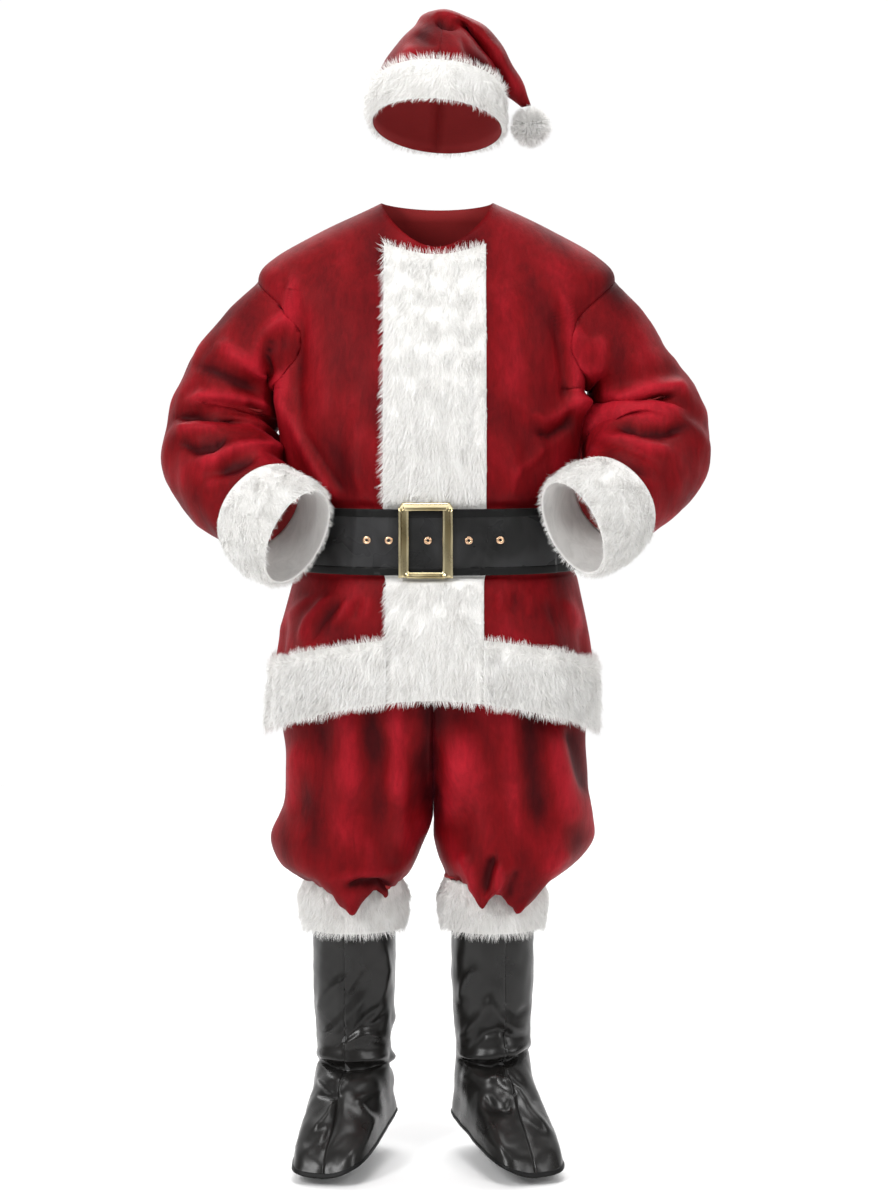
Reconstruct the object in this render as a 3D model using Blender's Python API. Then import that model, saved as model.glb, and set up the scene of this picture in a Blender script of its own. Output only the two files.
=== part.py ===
"""Santa suit as it hangs on a standing wearer with both hands on the hips.

Metres, +Z up, the suit faces -Y. The origin is the middle of the neck opening.
Names say left and right as the wearer does, so left pieces lie on the +X side.
Every piece is a shell on a smooth surface: it is drawn as a grid of (u, v) places
on that surface, and each place gives an inner and an outer point along the normal.
"""
import math
from collections import namedtuple

import bpy
from mathutils import Vector

SEAM = 0.0003           # gap between pieces that are sewn or lie together
CLOTH = 0.0016          # velvet with its knitted back
FUR_EDGE = 0.004        # fur band where it is sewn down
FUR_PILE = 0.013        # fur band at its fullest
VINYL = 0.0015          # boot covers
STRAP = 0.0022          # belt
BINDING = 0.0008        # bound edge on belt and boots

BELT_TOP = -0.455
BELT_BOTTOM = -0.557
BELT_LIFT = 0.0042      # the strap passes over the pressed front fur band
BINDING_WIDTH = 0.013
RING = 20               # places round a sleeve, and round its armhole
STEP = 1e-4             # distance used to find a normal

RED = (0.30, 0.008, 0.018, 1.0)
WHITE = (0.86, 0.84, 0.80, 1.0)
BLACK = (0.022, 0.022, 0.021, 1.0)
GOLD = (0.83, 0.62, 0.27, 1.0)

# Jacket, one row for each ring from the hem (0) to the neck (12)
Torso = namedtuple("Torso", "level shift width front back z_side z_front z_back")
JACKET = [
    Torso(0.0, -0.007, 0.261, 0.200, 0.168, -0.812, -0.748, -0.800),
    Torso(1.0, -0.005, 0.252, 0.192, 0.160, -0.700, -0.650, -0.690),
    Torso(2.0, -0.003, 0.229, 0.174, 0.143, -0.585, -0.578, -0.585),
    Torso(2.9, -0.003, 0.221, 0.167, 0.136, -0.5605, -0.5605, -0.5605),
    Torso(3.0, -0.003, 0.221, 0.167, 0.136, -0.557, -0.557, -0.557),
    Torso(4.0, -0.003, 0.221, 0.167, 0.136, -0.455, -0.455, -0.455),
    Torso(4.1, -0.003, 0.221, 0.167, 0.136, -0.4515, -0.4515, -0.4515),
    Torso(5.0, -0.004, 0.236, 0.176, 0.148, -0.425, -0.425, -0.425),
    Torso(6.0, -0.005, 0.245, 0.172, 0.152, -0.340, -0.340, -0.340),
    Torso(7.0, -0.005, 0.243, 0.158, 0.150, -0.262, -0.262, -0.262),
    Torso(8.0, -0.003, 0.256, 0.138, 0.143, -0.175, -0.190, -0.175),
    Torso(9.0, 0.000, 0.288, 0.118, 0.130, -0.104, -0.135, -0.110),
    Torso(10.0, 0.000, 0.254, 0.104, 0.116, -0.064, -0.105, -0.068),
    Torso(11.0, 0.000, 0.180, 0.094, 0.098, -0.024, -0.078, -0.026),
    Torso(12.0, 0.000, 0.088, 0.086, 0.078, 0.020, -0.052, 0.012),
]
SQUARENESS = 0.05
ARMPIT_Z = -0.272
ARMHOLE_TOP_Z = -0.104
ARMHOLE_REACH = math.radians(37)

# Large folds of the jacket: where each starts and ends, how wide and how high
Fold = namedtuple("Fold", "low_angle high_angle spread low_z high_z height")
JACKET_FOLDS = [
    Fold(-66, -70, 9, -0.47, -0.12, 0.014),
    Fold(64, 66, 9, -0.46, -0.11, 0.016),
    Fold(-38, -30, 6, -0.46, -0.20, -0.007),
    Fold(40, 30, 6, -0.45, -0.22, -0.007),
    Fold(-22, -34, 6, -0.50, -0.30, 0.006),
    Fold(24, 36, 6, -0.50, -0.30, 0.006),
    Fold(-52, -40, 8, -0.90, -0.55, 0.012),
    Fold(-30, -26, 6, -0.90, -0.56, -0.006),
    Fold(50, 40, 8, -0.90, -0.55, 0.011),
    Fold(72, 66, 7, -0.90, -0.56, -0.010),
    Fold(-78, -72, 7, -0.90, -0.56, -0.010),
    Fold(120, 118, 10, -0.90, -0.55, 0.013),
    Fold(-124, -120, 10, -0.90, -0.55, 0.013),
    Fold(150, 150, 8, -0.90, -0.56, -0.009),
    Fold(-152, -150, 8, -0.90, -0.56, -0.009),
    Fold(180, 180, 9, -0.90, -0.55, 0.012),
    Fold(150, 128, 9, -0.47, -0.16, 0.010),
    Fold(-150, -130, 9, -0.47, -0.16, 0.011),
    Fold(176, 172, 8, -0.46, -0.24, -0.007),
]

# Arms beyond the armhole: middle, half width and half depth of each ring. The sleeve
# runs to level 4 and the fur cuff from there to level 6.
Arm = namedtuple("Arm", "level x y z across deep")
ARMS = {
    1: [
        Arm(0.0, 0.309, 0.004, -0.252, 0.071, 0.088),
        Arm(1.0, 0.343, 0.004, -0.315, 0.083, 0.088),
        Arm(2.0, 0.349, -0.030, -0.368, 0.088, 0.084),
        Arm(3.0, 0.323, -0.088, -0.414, 0.087, 0.078),
        Arm(4.0, 0.286, -0.138, -0.444, 0.080, 0.070),
        Arm(5.0, 0.252, -0.180, -0.466, 0.085, 0.068),
        Arm(6.0, 0.217, -0.207, -0.482, 0.084, 0.064),
    ],
    -1: [
        Arm(0.0, 0.322, 0.004, -0.250, 0.074, 0.088),
        Arm(1.0, 0.347, 0.004, -0.318, 0.083, 0.088),
        Arm(2.0, 0.349, -0.030, -0.378, 0.088, 0.084),
        Arm(3.0, 0.320, -0.088, -0.424, 0.087, 0.078),
        Arm(4.0, 0.278, -0.138, -0.452, 0.080, 0.070),
        Arm(5.0, 0.252, -0.180, -0.476, 0.085, 0.068),
        Arm(6.0, 0.220, -0.207, -0.492, 0.084, 0.064),
    ],
}
SLEEVE_END = 4.0
CUFF_PRESS = 0.55       # how far the cuff's fur is flattened where it rests on the jacket
CUFF_END = 6.0
ARMHOLE_PULL = 0.11     # how firmly a sleeve leaves its armhole

# Creases of the sleeves: ring level, angle round the ring, spread of both, height
Crease = namedtuple("Crease", "level angle levels degrees height")
SLEEVE_CREASES = [
    Crease(1.25, 200, 0.22, 60, -0.010),
    Crease(1.75, 215, 0.20, 60, 0.008),
    Crease(2.25, 190, 0.22, 65, -0.010),
    Crease(0.75, 150, 0.22, 45, 0.007),
    Crease(2.75, 215, 0.22, 60, 0.007),
    Crease(1.60, 60, 0.25, 50, -0.006),
    Crease(2.05, 40, 0.25, 50, 0.006),
    Crease(3.35, 120, 0.25, 60, -0.006),
    Crease(3.45, 320, 0.25, 60, -0.006),
]

# Trousers, one row for each ring of a leg. outer and inner are distances from the
# middle seam; a ring whose inner side lies past that seam is cut off there.
MIDDLE_SEAM_X = -0.006
Leg = namedtuple("Leg", "level z outer inner front back y droop")
LEG_LEFT = [
    Leg(0.0, -0.5249, 0.2190, -0.2190, 0.157, 0.126, 0.000, 0.000),
    Leg(1.0, -0.640, 0.222, -0.210, 0.160, 0.130, 0.000, 0.000),
    Leg(2.0, -0.760, 0.238, -0.150, 0.160, 0.136, 0.000, 0.000),
    Leg(3.0, -0.850, 0.246, -0.070, 0.152, 0.137, 0.000, 0.000),
    Leg(4.0, -0.920, 0.250, -0.012, 0.140, 0.134, 0.000, 0.000),
    Leg(5.0, -0.955, 0.254, 0.0004, 0.137, 0.131, 0.000, 0.000),
    Leg(6.0, -0.995, 0.259, 0.001, 0.137, 0.128, 0.000, 0.000),
    Leg(7.0, -1.030, 0.254, 0.002, 0.136, 0.124, 0.000, 0.004),
    Leg(8.0, -1.062, 0.230, 0.002, 0.126, 0.112, 0.000, 0.014),
    Leg(9.0, -1.081, 0.196, 0.002, 0.106, 0.096, 0.000, 0.020),
    Leg(10.0, -1.070, 0.1710, 0.0205, 0.080, 0.076, 0.000, 0.012),
]
LEG_RIGHT = [
    Leg(0.0, -0.5249, 0.2120, -0.2120, 0.157, 0.126, 0.000, 0.000),
    Leg(1.0, -0.640, 0.218, -0.210, 0.160, 0.130, 0.000, 0.000),
    Leg(2.0, -0.760, 0.240, -0.150, 0.160, 0.136, 0.000, 0.000),
    Leg(3.0, -0.850, 0.236, -0.070, 0.152, 0.137, 0.000, 0.000),
    Leg(4.0, -0.920, 0.236, -0.012, 0.140, 0.134, 0.000, 0.000),
    Leg(5.0, -0.955, 0.246, 0.0004, 0.137, 0.131, 0.000, 0.000),
    Leg(6.0, -0.995, 0.257, 0.012, 0.137, 0.128, 0.000, 0.000),
    Leg(7.0, -1.030, 0.260, 0.021, 0.136, 0.124, 0.000, 0.004),
    Leg(8.0, -1.062, 0.243, 0.030, 0.126, 0.112, 0.000, 0.014),
    Leg(9.0, -1.081, 0.222, 0.038, 0.106, 0.096, 0.000, 0.020),
    Leg(10.0, -1.070, 0.2035, 0.0530, 0.080, 0.076, 0.000, 0.012),
]

# Large folds of a leg: angle from its outer side by way of the front
LEG_FOLDS = [
    Fold(62, 40, 10, -1.072, -0.80, 0.010),
    Fold(95, 84, 9, -1.072, -0.72, -0.008),
    Fold(125, 100, 9, -1.072, -0.78, 0.009),
    Fold(20, 24, 10, -1.072, -0.86, -0.006),
    Fold(235, 250, 12, -1.072, -0.80, 0.009),
    Fold(275, 268, 10, -1.072, -0.74, -0.008),
    Fold(315, 300, 12, -1.072, -0.80, 0.009),
]

# Fur band below each leg: height and inner radius of its rings, top to bottom
LEG_CUFF_Y = 0.002
LegCuff = namedtuple("LegCuff", "level z radius")
LEG_CUFF = [
    LegCuff(0.0, -1.0718, 0.0752),
    LegCuff(1.0, -1.0980, 0.0745),
    LegCuff(2.0, -1.1350, 0.0725),
]
CUFF_DROOP = 0.016
LEG_CUFF_CENTRE = {1: 0.0895, -1: -0.1340}

# Boot covers, rings from the top down; front and back are measured from the ankle
Boot = namedtuple("Boot", "level z_front z_back front back half")
BOOT = [
    Boot(0.0, -1.098, -1.098, 0.0668, 0.0668, 0.0668),
    Boot(1.0, -1.160, -1.160, 0.0668, 0.0680, 0.0668),
    Boot(2.0, -1.230, -1.230, 0.066, 0.068, 0.0660),
    Boot(3.0, -1.300, -1.300, 0.061, 0.062, 0.0620),
    Boot(4.0, -1.338, -1.345, 0.062, 0.060, 0.0590),
    Boot(5.0, -1.370, -1.375, 0.084, 0.063, 0.0600),
    Boot(6.0, -1.402, -1.402, 0.118, 0.066, 0.0600),
    Boot(7.0, -1.434, -1.424, 0.160, 0.068, 0.0590),
    Boot(8.0, -1.462, -1.440, 0.196, 0.070, 0.0580),
    Boot(9.0, -1.490, -1.458, 0.214, 0.071, 0.0560),
]
TOE_OUT = math.radians(18)
BOOT_CREASES = [
    Fold(0, 0, 50, -1.372, -1.328, -0.006),
    Fold(20, 0, 45, -1.350, -1.300, 0.004),
    Fold(150, 160, 40, -1.390, -1.330, -0.004),
]
BOOT_EDGE = [8.75, 9.0]

# Hat rings from the brim over the top and down the tail. out and in are the two
# ends of each ring as seen from the front; rise lifts the ring's front side.
Crown = namedtuple("Crown", "level x_out z_out x_in z_in depth rise")
HAT = [
    Crown(0.0, -0.101, 0.146, 0.102, 0.132, 0.117, 0.034),
    Crown(1.0, -0.101, 0.184, 0.102, 0.171, 0.115, 0.036),
    Crown(2.0, -0.089, 0.222, 0.092, 0.212, 0.101, 0.030),
    Crown(3.0, -0.063, 0.264, 0.061, 0.249, 0.079, 0.018),
    Crown(4.0, -0.037, 0.295, 0.041, 0.278, 0.060, 0.008),
    Crown(5.0, -0.021, 0.317, 0.041, 0.290, 0.048, 0.002),
    Crown(6.0, 0.003, 0.3262, 0.045, 0.294, 0.041, 0.000),
    Crown(7.0, 0.031, 0.323, 0.050, 0.2925, 0.037, 0.000),
    Crown(8.0, 0.059, 0.3095, 0.057, 0.284, 0.034, 0.000),
    Crown(9.0, 0.087, 0.286, 0.068, 0.266, 0.031, 0.000),
    Crown(10.0, 0.112, 0.246, 0.088, 0.235, 0.027, 0.000),
    Crown(11.0, 0.135, 0.202, 0.113, 0.196, 0.021, 0.000),
    Crown(12.0, 0.148, 0.172, 0.133, 0.169, 0.010, 0.000),
]
HAT_BAND_ROWS = [0.0, 0.25, 0.75, 1.3, 1.55]
POMPOM_RADIUS = 0.031
TAIL_SLANT = 0.0021      # the tail's end is cut a little across

# Front fur band: half width above and below the belt, and its middle
FRONT_BAND_X = -0.003
FRONT_BAND_HALF = 0.079
FRONT_BAND_TOP = 11.5
HEM_ROWS = [0.0, 0.15, 0.5, 0.82, 0.98]
BELT_ROOM = 0.0008      # room under the strap, which is drawn with other corners

BUCKLE_X = -0.0165
BUCKLE_Z = -0.503
BUCKLE_WIDTH = 0.081
BUCKLE_HEIGHT = 0.128
BUCKLE_BAR = 0.0155
BUCKLE_DEPTH = 0.0075
EYELETS_X = (-0.105, -0.072, -0.0134, 0.048, 0.095)
EYELET_OUTER = 0.006
EYELET_HOLE = 0.0026
EYELET_HEIGHT = 0.0012
TAIL_ANGLE = math.radians(52)
TAIL_RISE = 0.0040


def at(table, level):
    """A table's row at a level of its first column, on a smooth curve through the rows."""
    last = len(table) - 2
    index = 0
    while index < last and level > table[index + 1].level:
        index += 1
    low = table[index]
    high = table[index + 1]
    before = table[max(index - 1, 0)]
    after = table[min(index + 2, last + 1)]
    span = high.level - low.level
    t = (level - low.level) / span
    rise_low = span / (high.level - before.level)
    rise_high = span / (after.level - low.level)
    values = []
    for a, b, c, d in zip(before, low, high, after):
        start = (c - a) * rise_low
        end = (d - b) * rise_high
        bend = 2 * (b - c) + start + end
        values.append(b + t * (start + t * (3 * (c - b) - 2 * start - end + t * bend)))
    return type(low)(*values)


def level_at(table, column, value):
    """The level at which a falling column of a table has a value."""
    low = table[0].level
    high = table[-1].level
    rising = getattr(table[-1], column) > getattr(table[0], column)
    for _ in range(40):
        middle = (low + high) / 2
        if (getattr(at(table, middle), column) < value) == rising:
            low = middle
        else:
            high = middle
    return (low + high) / 2


def smooth(t):
    """0 to 1 with level ends."""
    t = min(max(t, 0.0), 1.0)
    return t * t * (3 - 2 * t)


def wrapped(angle):
    """An angle in degrees, from -180 to 180."""
    return (angle + 180.0) % 360.0 - 180.0


def fold_height(folds, degrees, z):
    """How far folds push a surface out at an angle and a height."""
    total = 0.0
    for fold in folds:
        if fold.low_z < z < fold.high_z:
            t = (z - fold.low_z) / (fold.high_z - fold.low_z)
            middle = fold.low_angle + t * (fold.high_angle - fold.low_angle)
            off = wrapped(degrees - middle) / fold.spread
            total += fold.height * math.sin(math.pi * t) ** 2 * math.exp(-off * off)
    return total


def at_belt(level):
    """1 under the belt, 0 clear of it."""
    return smooth((level - 2.55) / 0.4) * smooth((4.45 - level) / 0.4)


def jacket(angle, level):
    """The jacket's outer face. Angle 0 is the middle of the front, 90 degrees the left side."""
    row = at(JACKET, level)
    side = math.sin(angle)
    front = math.cos(angle)
    depth = row.front if front > 0 else row.back
    centre_z = row.z_front if front > 0 else row.z_back
    z = row.z_side + (centre_z - row.z_side) * front * front
    square = 1 + SQUARENESS * math.sin(2 * angle) ** 2
    fold = fold_height(JACKET_FOLDS, math.degrees(angle), z) * (1 - at_belt(level))
    return Vector((row.shift + side * (row.width * square + fold),
                   -front * (depth * square + fold), z))


def jacket_angle(x, level):
    """The angle at which the jacket's front has an x."""
    low = -math.pi / 2
    high = math.pi / 2
    for _ in range(30):
        middle = (low + high) / 2
        if jacket(middle, level).x < x:
            low = middle
        else:
            high = middle
    return (low + high) / 2


def normal(surface, u, v, facing):
    """Unit normal of a surface; facing 1 or -1 picks the side."""
    along_u = surface(u + STEP, v) - surface(u - STEP, v)
    along_v = surface(u, v + STEP) - surface(u, v - STEP)
    return along_u.cross(along_v).normalized() * facing


def material(name, colour, roughness, metallic=0.0):
    made = bpy.data.materials.new(name)
    made.use_nodes = True
    shader = made.node_tree.nodes["Principled BSDF"]
    shader.inputs["Base Color"].default_value = colour
    shader.inputs["Roughness"].default_value = roughness
    shader.inputs["Metallic"].default_value = metallic
    return made


FINISHES = {
    "velvet": (RED, 0.8, 0.0),
    "fur": (WHITE, 0.95, 0.0),
    "vinyl": (BLACK, 0.35, 0.0),
    "gold": (GOLD, 0.22, 1.0),
}


def add_object(name, points, faces, finish):
    mesh = bpy.data.meshes.new(name)
    mesh.from_pydata(points, [], faces)
    mesh.validate()
    mesh.shade_smooth()
    mesh.set_sharp_from_angle(angle=math.radians(50))
    mesh.materials.append(material(name + "_material", *FINISHES[finish]))
    made = bpy.data.objects.new(name, mesh)
    bpy.context.scene.collection.objects.link(made)
    return made


def value(setting, u, v):
    return setting(u, v) if callable(setting) else setting


def shell(name, surface, grid, inner, outer, finish, facing=1, closed=False):
    """A wall on a surface. The grid is rows of (u, v) places, and a place of a closed
    grid's row also joins its last to its first. inner and outer are heights above
    the surface, numbers or functions of (u, v)."""
    rows = len(grid)
    columns = len(grid[0])
    points = []
    for height in (outer, inner):
        for row in grid:
            for u, v in row:
                away = normal(surface, u, v, facing)
                points.append(surface(u, v) + away * value(height, u, v))
    size = rows * columns
    across = columns if closed else columns - 1
    faces = []
    for r in range(rows - 1):
        for c in range(across):
            a = r * columns + c
            b = r * columns + (c + 1) % columns
            c2 = b + columns
            d = a + columns
            for corners in ((a, b, c2), (a, c2, d)):
                faces.append(corners)
                faces.append(tuple(size + i for i in reversed(corners)))
    for r, turn in ((0, 1), (rows - 1, -1)):
        for c in range(across):
            a = r * columns + c
            b = r * columns + (c + 1) % columns
            quad = (a, size + a, size + b, b)
            faces.append(quad if turn > 0 else quad[::-1])
    if not closed:
        for c, turn in ((0, -1), (columns - 1, 1)):
            for r in range(rows - 1):
                a = r * columns + c
                b = a + columns
                quad = (a, size + a, size + b, b)
                faces.append(quad if turn > 0 else quad[::-1])
    if facing < 0:
        faces = [face[::-1] for face in faces]
    return add_object(name, points, faces, finish)


def spread(start, end, count):
    """Evenly spaced values, both ends included."""
    return [start + (end - start) * i / count for i in range(count + 1)]


def dome(t, edge, top):
    """Height of a fur band across its width, t from 0 to 1."""
    return edge + (top - edge) * math.sin(math.pi * min(max(t, 0.0), 1.0)) ** 0.6


ARMPIT = level_at(JACKET, "z_side", ARMPIT_Z)
SHOULDER = level_at(JACKET, "z_side", ARMHOLE_TOP_Z)
ARMHOLE_MIDDLE = (ARMPIT + SHOULDER) / 2
ARMHOLE_HALF = (SHOULDER - ARMPIT) / 2
BELT_LOW = level_at(JACKET, "z_side", BELT_BOTTOM)
BELT_HIGH = level_at(JACKET, "z_side", BELT_TOP)
QUARTER = math.pi / 2


def armhole_gap(level):
    """Angle from the side line to the armhole's edge at a level."""
    off = (level - ARMHOLE_MIDDLE) / ARMHOLE_HALF
    return ARMHOLE_REACH * math.sqrt(max(1 - off * off, 0.0))


def jacket_levels():
    """Levels of the grid rows, closer together beside the armhole."""
    below = HEM_ROWS + [1.6, 2.15, 2.55, 3.0, 4.0, 4.55] + spread(5.0, ARMPIT, 3)[:-1]
    beside = [ARMHOLE_MIDDLE - ARMHOLE_HALF * math.cos(2 * math.pi * i / RING)
              for i in range(RING // 2 + 1)]
    return below + beside + spread(SHOULDER, 12.0, 4)[1:]


def front_band_half(level):
    """Half width of the front band, narrower below the belt."""
    return FRONT_BAND_HALF - 0.004 * smooth((4 - level) / 2)


def band_angles(side, level):
    """Angles of the grid from the middle of the front to the front band's edge."""
    half = front_band_half(level)
    return [jacket_angle(FRONT_BAND_X + side * half * i / 3, level) for i in range(4)]


def front_angles(side, level):
    """Angles of a front panel's grid from the middle of the front to its side seam."""
    seam = SEAM / 2 / JACKET[6].width
    under = band_angles(side, level)
    edge = side * (QUARTER - armhole_gap(level) - seam)
    return [under[0] + side * seam] + under[1:] + spread(under[-1], edge, 8)[1:]


def back_angles(level):
    seam = SEAM / 2 / JACKET[6].width
    start = QUARTER + armhole_gap(level) + seam
    return spread(start, 4 * QUARTER - start, 14)


def make_jacket():
    levels = jacket_levels()
    columns = {
        "jacket_front_left": lambda v: front_angles(1, v),
        "jacket_front_right": lambda v: front_angles(-1, v)[::-1],
        "jacket_back": back_angles,
    }
    for name, angles in columns.items():
        grid = [[(u, v) for u in angles(v)] for v in levels]
        shell(name, jacket, grid, -CLOTH, 0.0, "velvet")


def armhole_point(side, turn):
    """A place on the sleeve's own first ring, just inside the armhole."""
    shrink = 1 - 2.2 * SEAM / (0.5 * (ARMHOLE_TOP_Z - ARMPIT_Z))
    angle = side * (QUARTER - ARMHOLE_REACH * shrink * math.sin(turn))
    return angle, ARMHOLE_MIDDLE + ARMHOLE_HALF * shrink * math.cos(turn)


def arm_ring(side, turn, level):
    """A place on the arm's rings beyond the armhole. Turn 0 is the outer side and a
    quarter turn the front."""
    table = ARMS[side]
    row = at(table, level)
    ahead = at(table, min(level + 0.1, CUFF_END))
    behind = at(table, max(level - 0.1, 0.0))
    way = Vector((side * (ahead.x - behind.x), ahead.y - behind.y, ahead.z - behind.z))
    way.normalize()
    front = Vector((0.0, -1.0, 0.0))
    front = (front - way * front.dot(way)).normalized()
    across = front.cross(way) * side
    crease = 0.0
    for fold in SLEEVE_CREASES:
        off = (level - fold.level) / fold.levels
        around = wrapped(math.degrees(turn) - fold.angle) / fold.degrees
        crease += fold.height * math.exp(-off * off - around * around)
    spoke = across * math.cos(turn) + front * math.sin(turn)
    return (Vector((side * row.x, row.y, row.z)) + spoke * crease
            + across * (row.across * math.cos(turn)) + front * (row.deep * math.sin(turn)))


def arm(side):
    """The surface of one arm: levels -1 to 0 leave the armhole, 0 to 6 are its rings."""
    def surface(turn, level):
        if level >= 0:
            return arm_ring(side, turn, level)
        start = jacket(*armhole_point(side, turn))
        end = arm_ring(side, turn, 0.0)
        leave = Vector((side, 0.0, -0.25)) * ARMHOLE_PULL
        arrive = (arm_ring(side, turn, 0.05) - end) / 0.05 * 1.3
        t = level + 1
        bend = 2 * (start - end) + leave + arrive
        return start + t * (leave + t * (3 * (end - start) - 2 * leave - arrive + t * bend))
    return surface


def ring(level, count=RING):
    return [(2 * math.pi * i / count, level) for i in range(count)]


def make_sleeve(side, word):
    surface = arm(side)
    levels = [-1.0, -0.75, -0.4, 0.0, 0.5, 1.0, 1.4, 1.8, 2.3, 3.1]
    levels.append(SLEEVE_END - 0.004)
    grid = [ring(level) for level in levels]
    made = shell("sleeve_" + word, surface, grid, -CLOTH, 0.0, "velvet", side, True)
    # The first ring lies on the jacket, so its thickness runs the way the jacket's does
    points = made.data.vertices
    inner_start = len(levels) * RING
    for i, (turn, _) in enumerate(ring(-1.0)):
        place = armhole_point(side, turn)
        away = normal(jacket, *place, 1)
        points[inner_start + i].co = jacket(*place) - away * CLOTH
        points[i].co = jacket(*place)


def make_cuff(side, word):
    surface = arm(side)
    start = SLEEVE_END + 0.006
    levels = [start, start + 0.15, 4.7, 5.4, 5.85, CUFF_END]

    def pile(turn, level):
        t = (level - start) / (CUFF_END - start)
        pressed = 1 - CUFF_PRESS * max(-math.sin(turn), 0.0)
        return dome(t, 0.002, FUR_PILE) * pressed

    shell("cuff_" + word, surface, [ring(v) for v in levels], -0.002, pile,
          "fur", side, True)


def at_buckle(level):
    """1 where the buckle presses the fur, 0 clear of it."""
    return smooth((level - 2.15) / 0.4) * smooth((5.0 - level) / 0.45)


def make_front_band():
    grid = []
    across = {}
    for level in [v for v in jacket_levels() if v < FRONT_BAND_TOP]:
        angles = band_angles(-1, level)[:0:-1] + band_angles(1, level)
        for i, u in enumerate(angles):
            across[u, level] = i / 6
        grid.append([(u, level) for u in angles])

    def pile(u, level):
        full = dome(across[u, level], FUR_EDGE, FUR_PILE)
        end = FUR_EDGE + (full - FUR_EDGE) * smooth(0.3 + level / 0.3)
        return end + (BELT_LIFT - BELT_ROOM - end) * at_buckle(level)

    shell("front_fur_band", jacket, grid, SEAM, pile, "fur")


def make_hem_band():
    def pile(u, level):
        return dome(level / HEM_ROWS[-1], FUR_EDGE, FUR_PILE)

    def side_angles(side, level):
        angles = front_angles(side, level)[3:]
        angles[0] += side * 2 * SEAM / JACKET[0].width
        return angles

    columns = {
        "hem_fur_left": lambda v: side_angles(1, v),
        "hem_fur_right": lambda v: side_angles(-1, v)[::-1],
        "hem_fur_back": back_angles,
    }
    for name, angles in columns.items():
        grid = [[(u, v) for u in angles(v)] for v in HEM_ROWS]
        shell(name, jacket, grid, SEAM, pile, "fur")


def belt_lift(angle):
    """Height of the strap's inner face above the jacket. The strap starts behind the
    buckle, goes round by the left side and ends on top of itself."""
    return BELT_LIFT + TAIL_RISE * smooth((angle - 1.45 * math.pi) / (0.3 * math.pi))


def make_belt():
    start = jacket_angle(BUCKLE_X, BELT_LOW)
    end = 2 * math.pi + TAIL_ANGLE
    angles = spread(start, end, 44)

    def face(name, levels, inner, outer):
        grid = [[(u, level) for u in angles] for level in levels]
        shell(name, jacket, grid, lambda u, v: belt_lift(u) + inner,
              lambda u, v: belt_lift(u) + outer, "vinyl")

    width = BINDING_WIDTH * (BELT_HIGH - BELT_LOW) / (BELT_TOP - BELT_BOTTOM)
    levels = [BELT_LOW, BELT_LOW + width, BELT_HIGH - width, BELT_HIGH]
    face("belt_strap", levels, 0.0, STRAP)
    low = STRAP + SEAM
    face("belt_binding_bottom", levels[:2], low, low + BINDING)
    face("belt_binding_top", levels[2:], low, low + BINDING)


def belt_place(x, z):
    """Angle, level and height of the belt's outer face at the front."""
    level = level_at(JACKET, "z_side", z)
    angle = jacket_angle(x, level)
    height = belt_lift(angle + 2 * math.pi) + STRAP + SEAM
    return angle, level, height


def on_belt(x, z, lift):
    """A point above the belt's face at the front."""
    angle, level, height = belt_place(x, z)
    return jacket(angle, level) + normal(jacket, angle, level, 1) * (height + lift)


def make_buckle():
    """A rectangular frame with mitred corners and a convex section, curved with the belt."""
    section = [(0.0, 0.0), (0.0, 0.55), (0.16, 0.85), (0.45, 1.0), (0.75, 0.9),
               (0.86, 0.62), (1.0, 0.55), (1.0, 0.0)]
    half_x = BUCKLE_WIDTH / 2
    half_z = BUCKLE_HEIGHT / 2
    corner = 0.006
    outline = [(1, 1, 0, -1), (1, 0, 0, 0), (1, -1, 0, 1), (1, -1, -1, 0), (0.5, -1, 0, 0),
               (0, -1, 0, 0), (-0.5, -1, 0, 0), (-1, -1, 1, 0), (-1, -1, 0, 1), (-1, 0, 0, 0),
               (-1, 1, 0, -1), (-1, 1, 1, 0), (-0.5, 1, 0, 0), (0, 1, 0, 0), (0.5, 1, 0, 0),
               (1, 1, -1, 0)]
    points = []
    for across, up, trim_x, trim_z in outline:
        for inward, lift in section:
            x = across * (half_x - inward * BUCKLE_BAR)
            z = up * (half_z - inward * BUCKLE_BAR)
            ease = corner * (1 - 0.5 * inward)
            points.append(on_belt(BUCKLE_X + x + trim_x * ease, BUCKLE_Z + z + trim_z * ease,
                                  BINDING + BELT_ROOM + lift * BUCKLE_DEPTH))
    count = len(section)
    faces = []
    for i in range(len(outline)):
        for j in range(count):
            a = i * count + j
            b = i * count + (j + 1) % count
            c = (i + 1) % len(outline) * count + (j + 1) % count
            d = (i + 1) % len(outline) * count + j
            faces.append((a, b, c, d))
    add_object("belt_buckle", points, faces, "gold")


def make_eyelets():
    sides = 10
    section = [(EYELET_HOLE, 0.0), (EYELET_HOLE, 0.7),
               (0.5 * (EYELET_HOLE + EYELET_OUTER), 1.0), (EYELET_OUTER, 0.0)]
    for number, x in enumerate(EYELETS_X, 1):
        points = []
        for i in range(sides):
            turn = 2 * math.pi * i / sides
            for radius, lift in section:
                points.append(on_belt(x + radius * math.cos(turn),
                                      BUCKLE_Z + radius * math.sin(turn),
                                      lift * EYELET_HEIGHT))
        count = len(section)
        faces = []
        for i in range(sides):
            for j in range(count):
                a = i * count + j
                b = i * count + (j + 1) % count
                c = (i + 1) % sides * count + (j + 1) % count
                d = (i + 1) % sides * count + j
                faces.append((a, b, c, d))
        add_object("belt_eyelet_%d" % number, points, faces, "gold")


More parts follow.
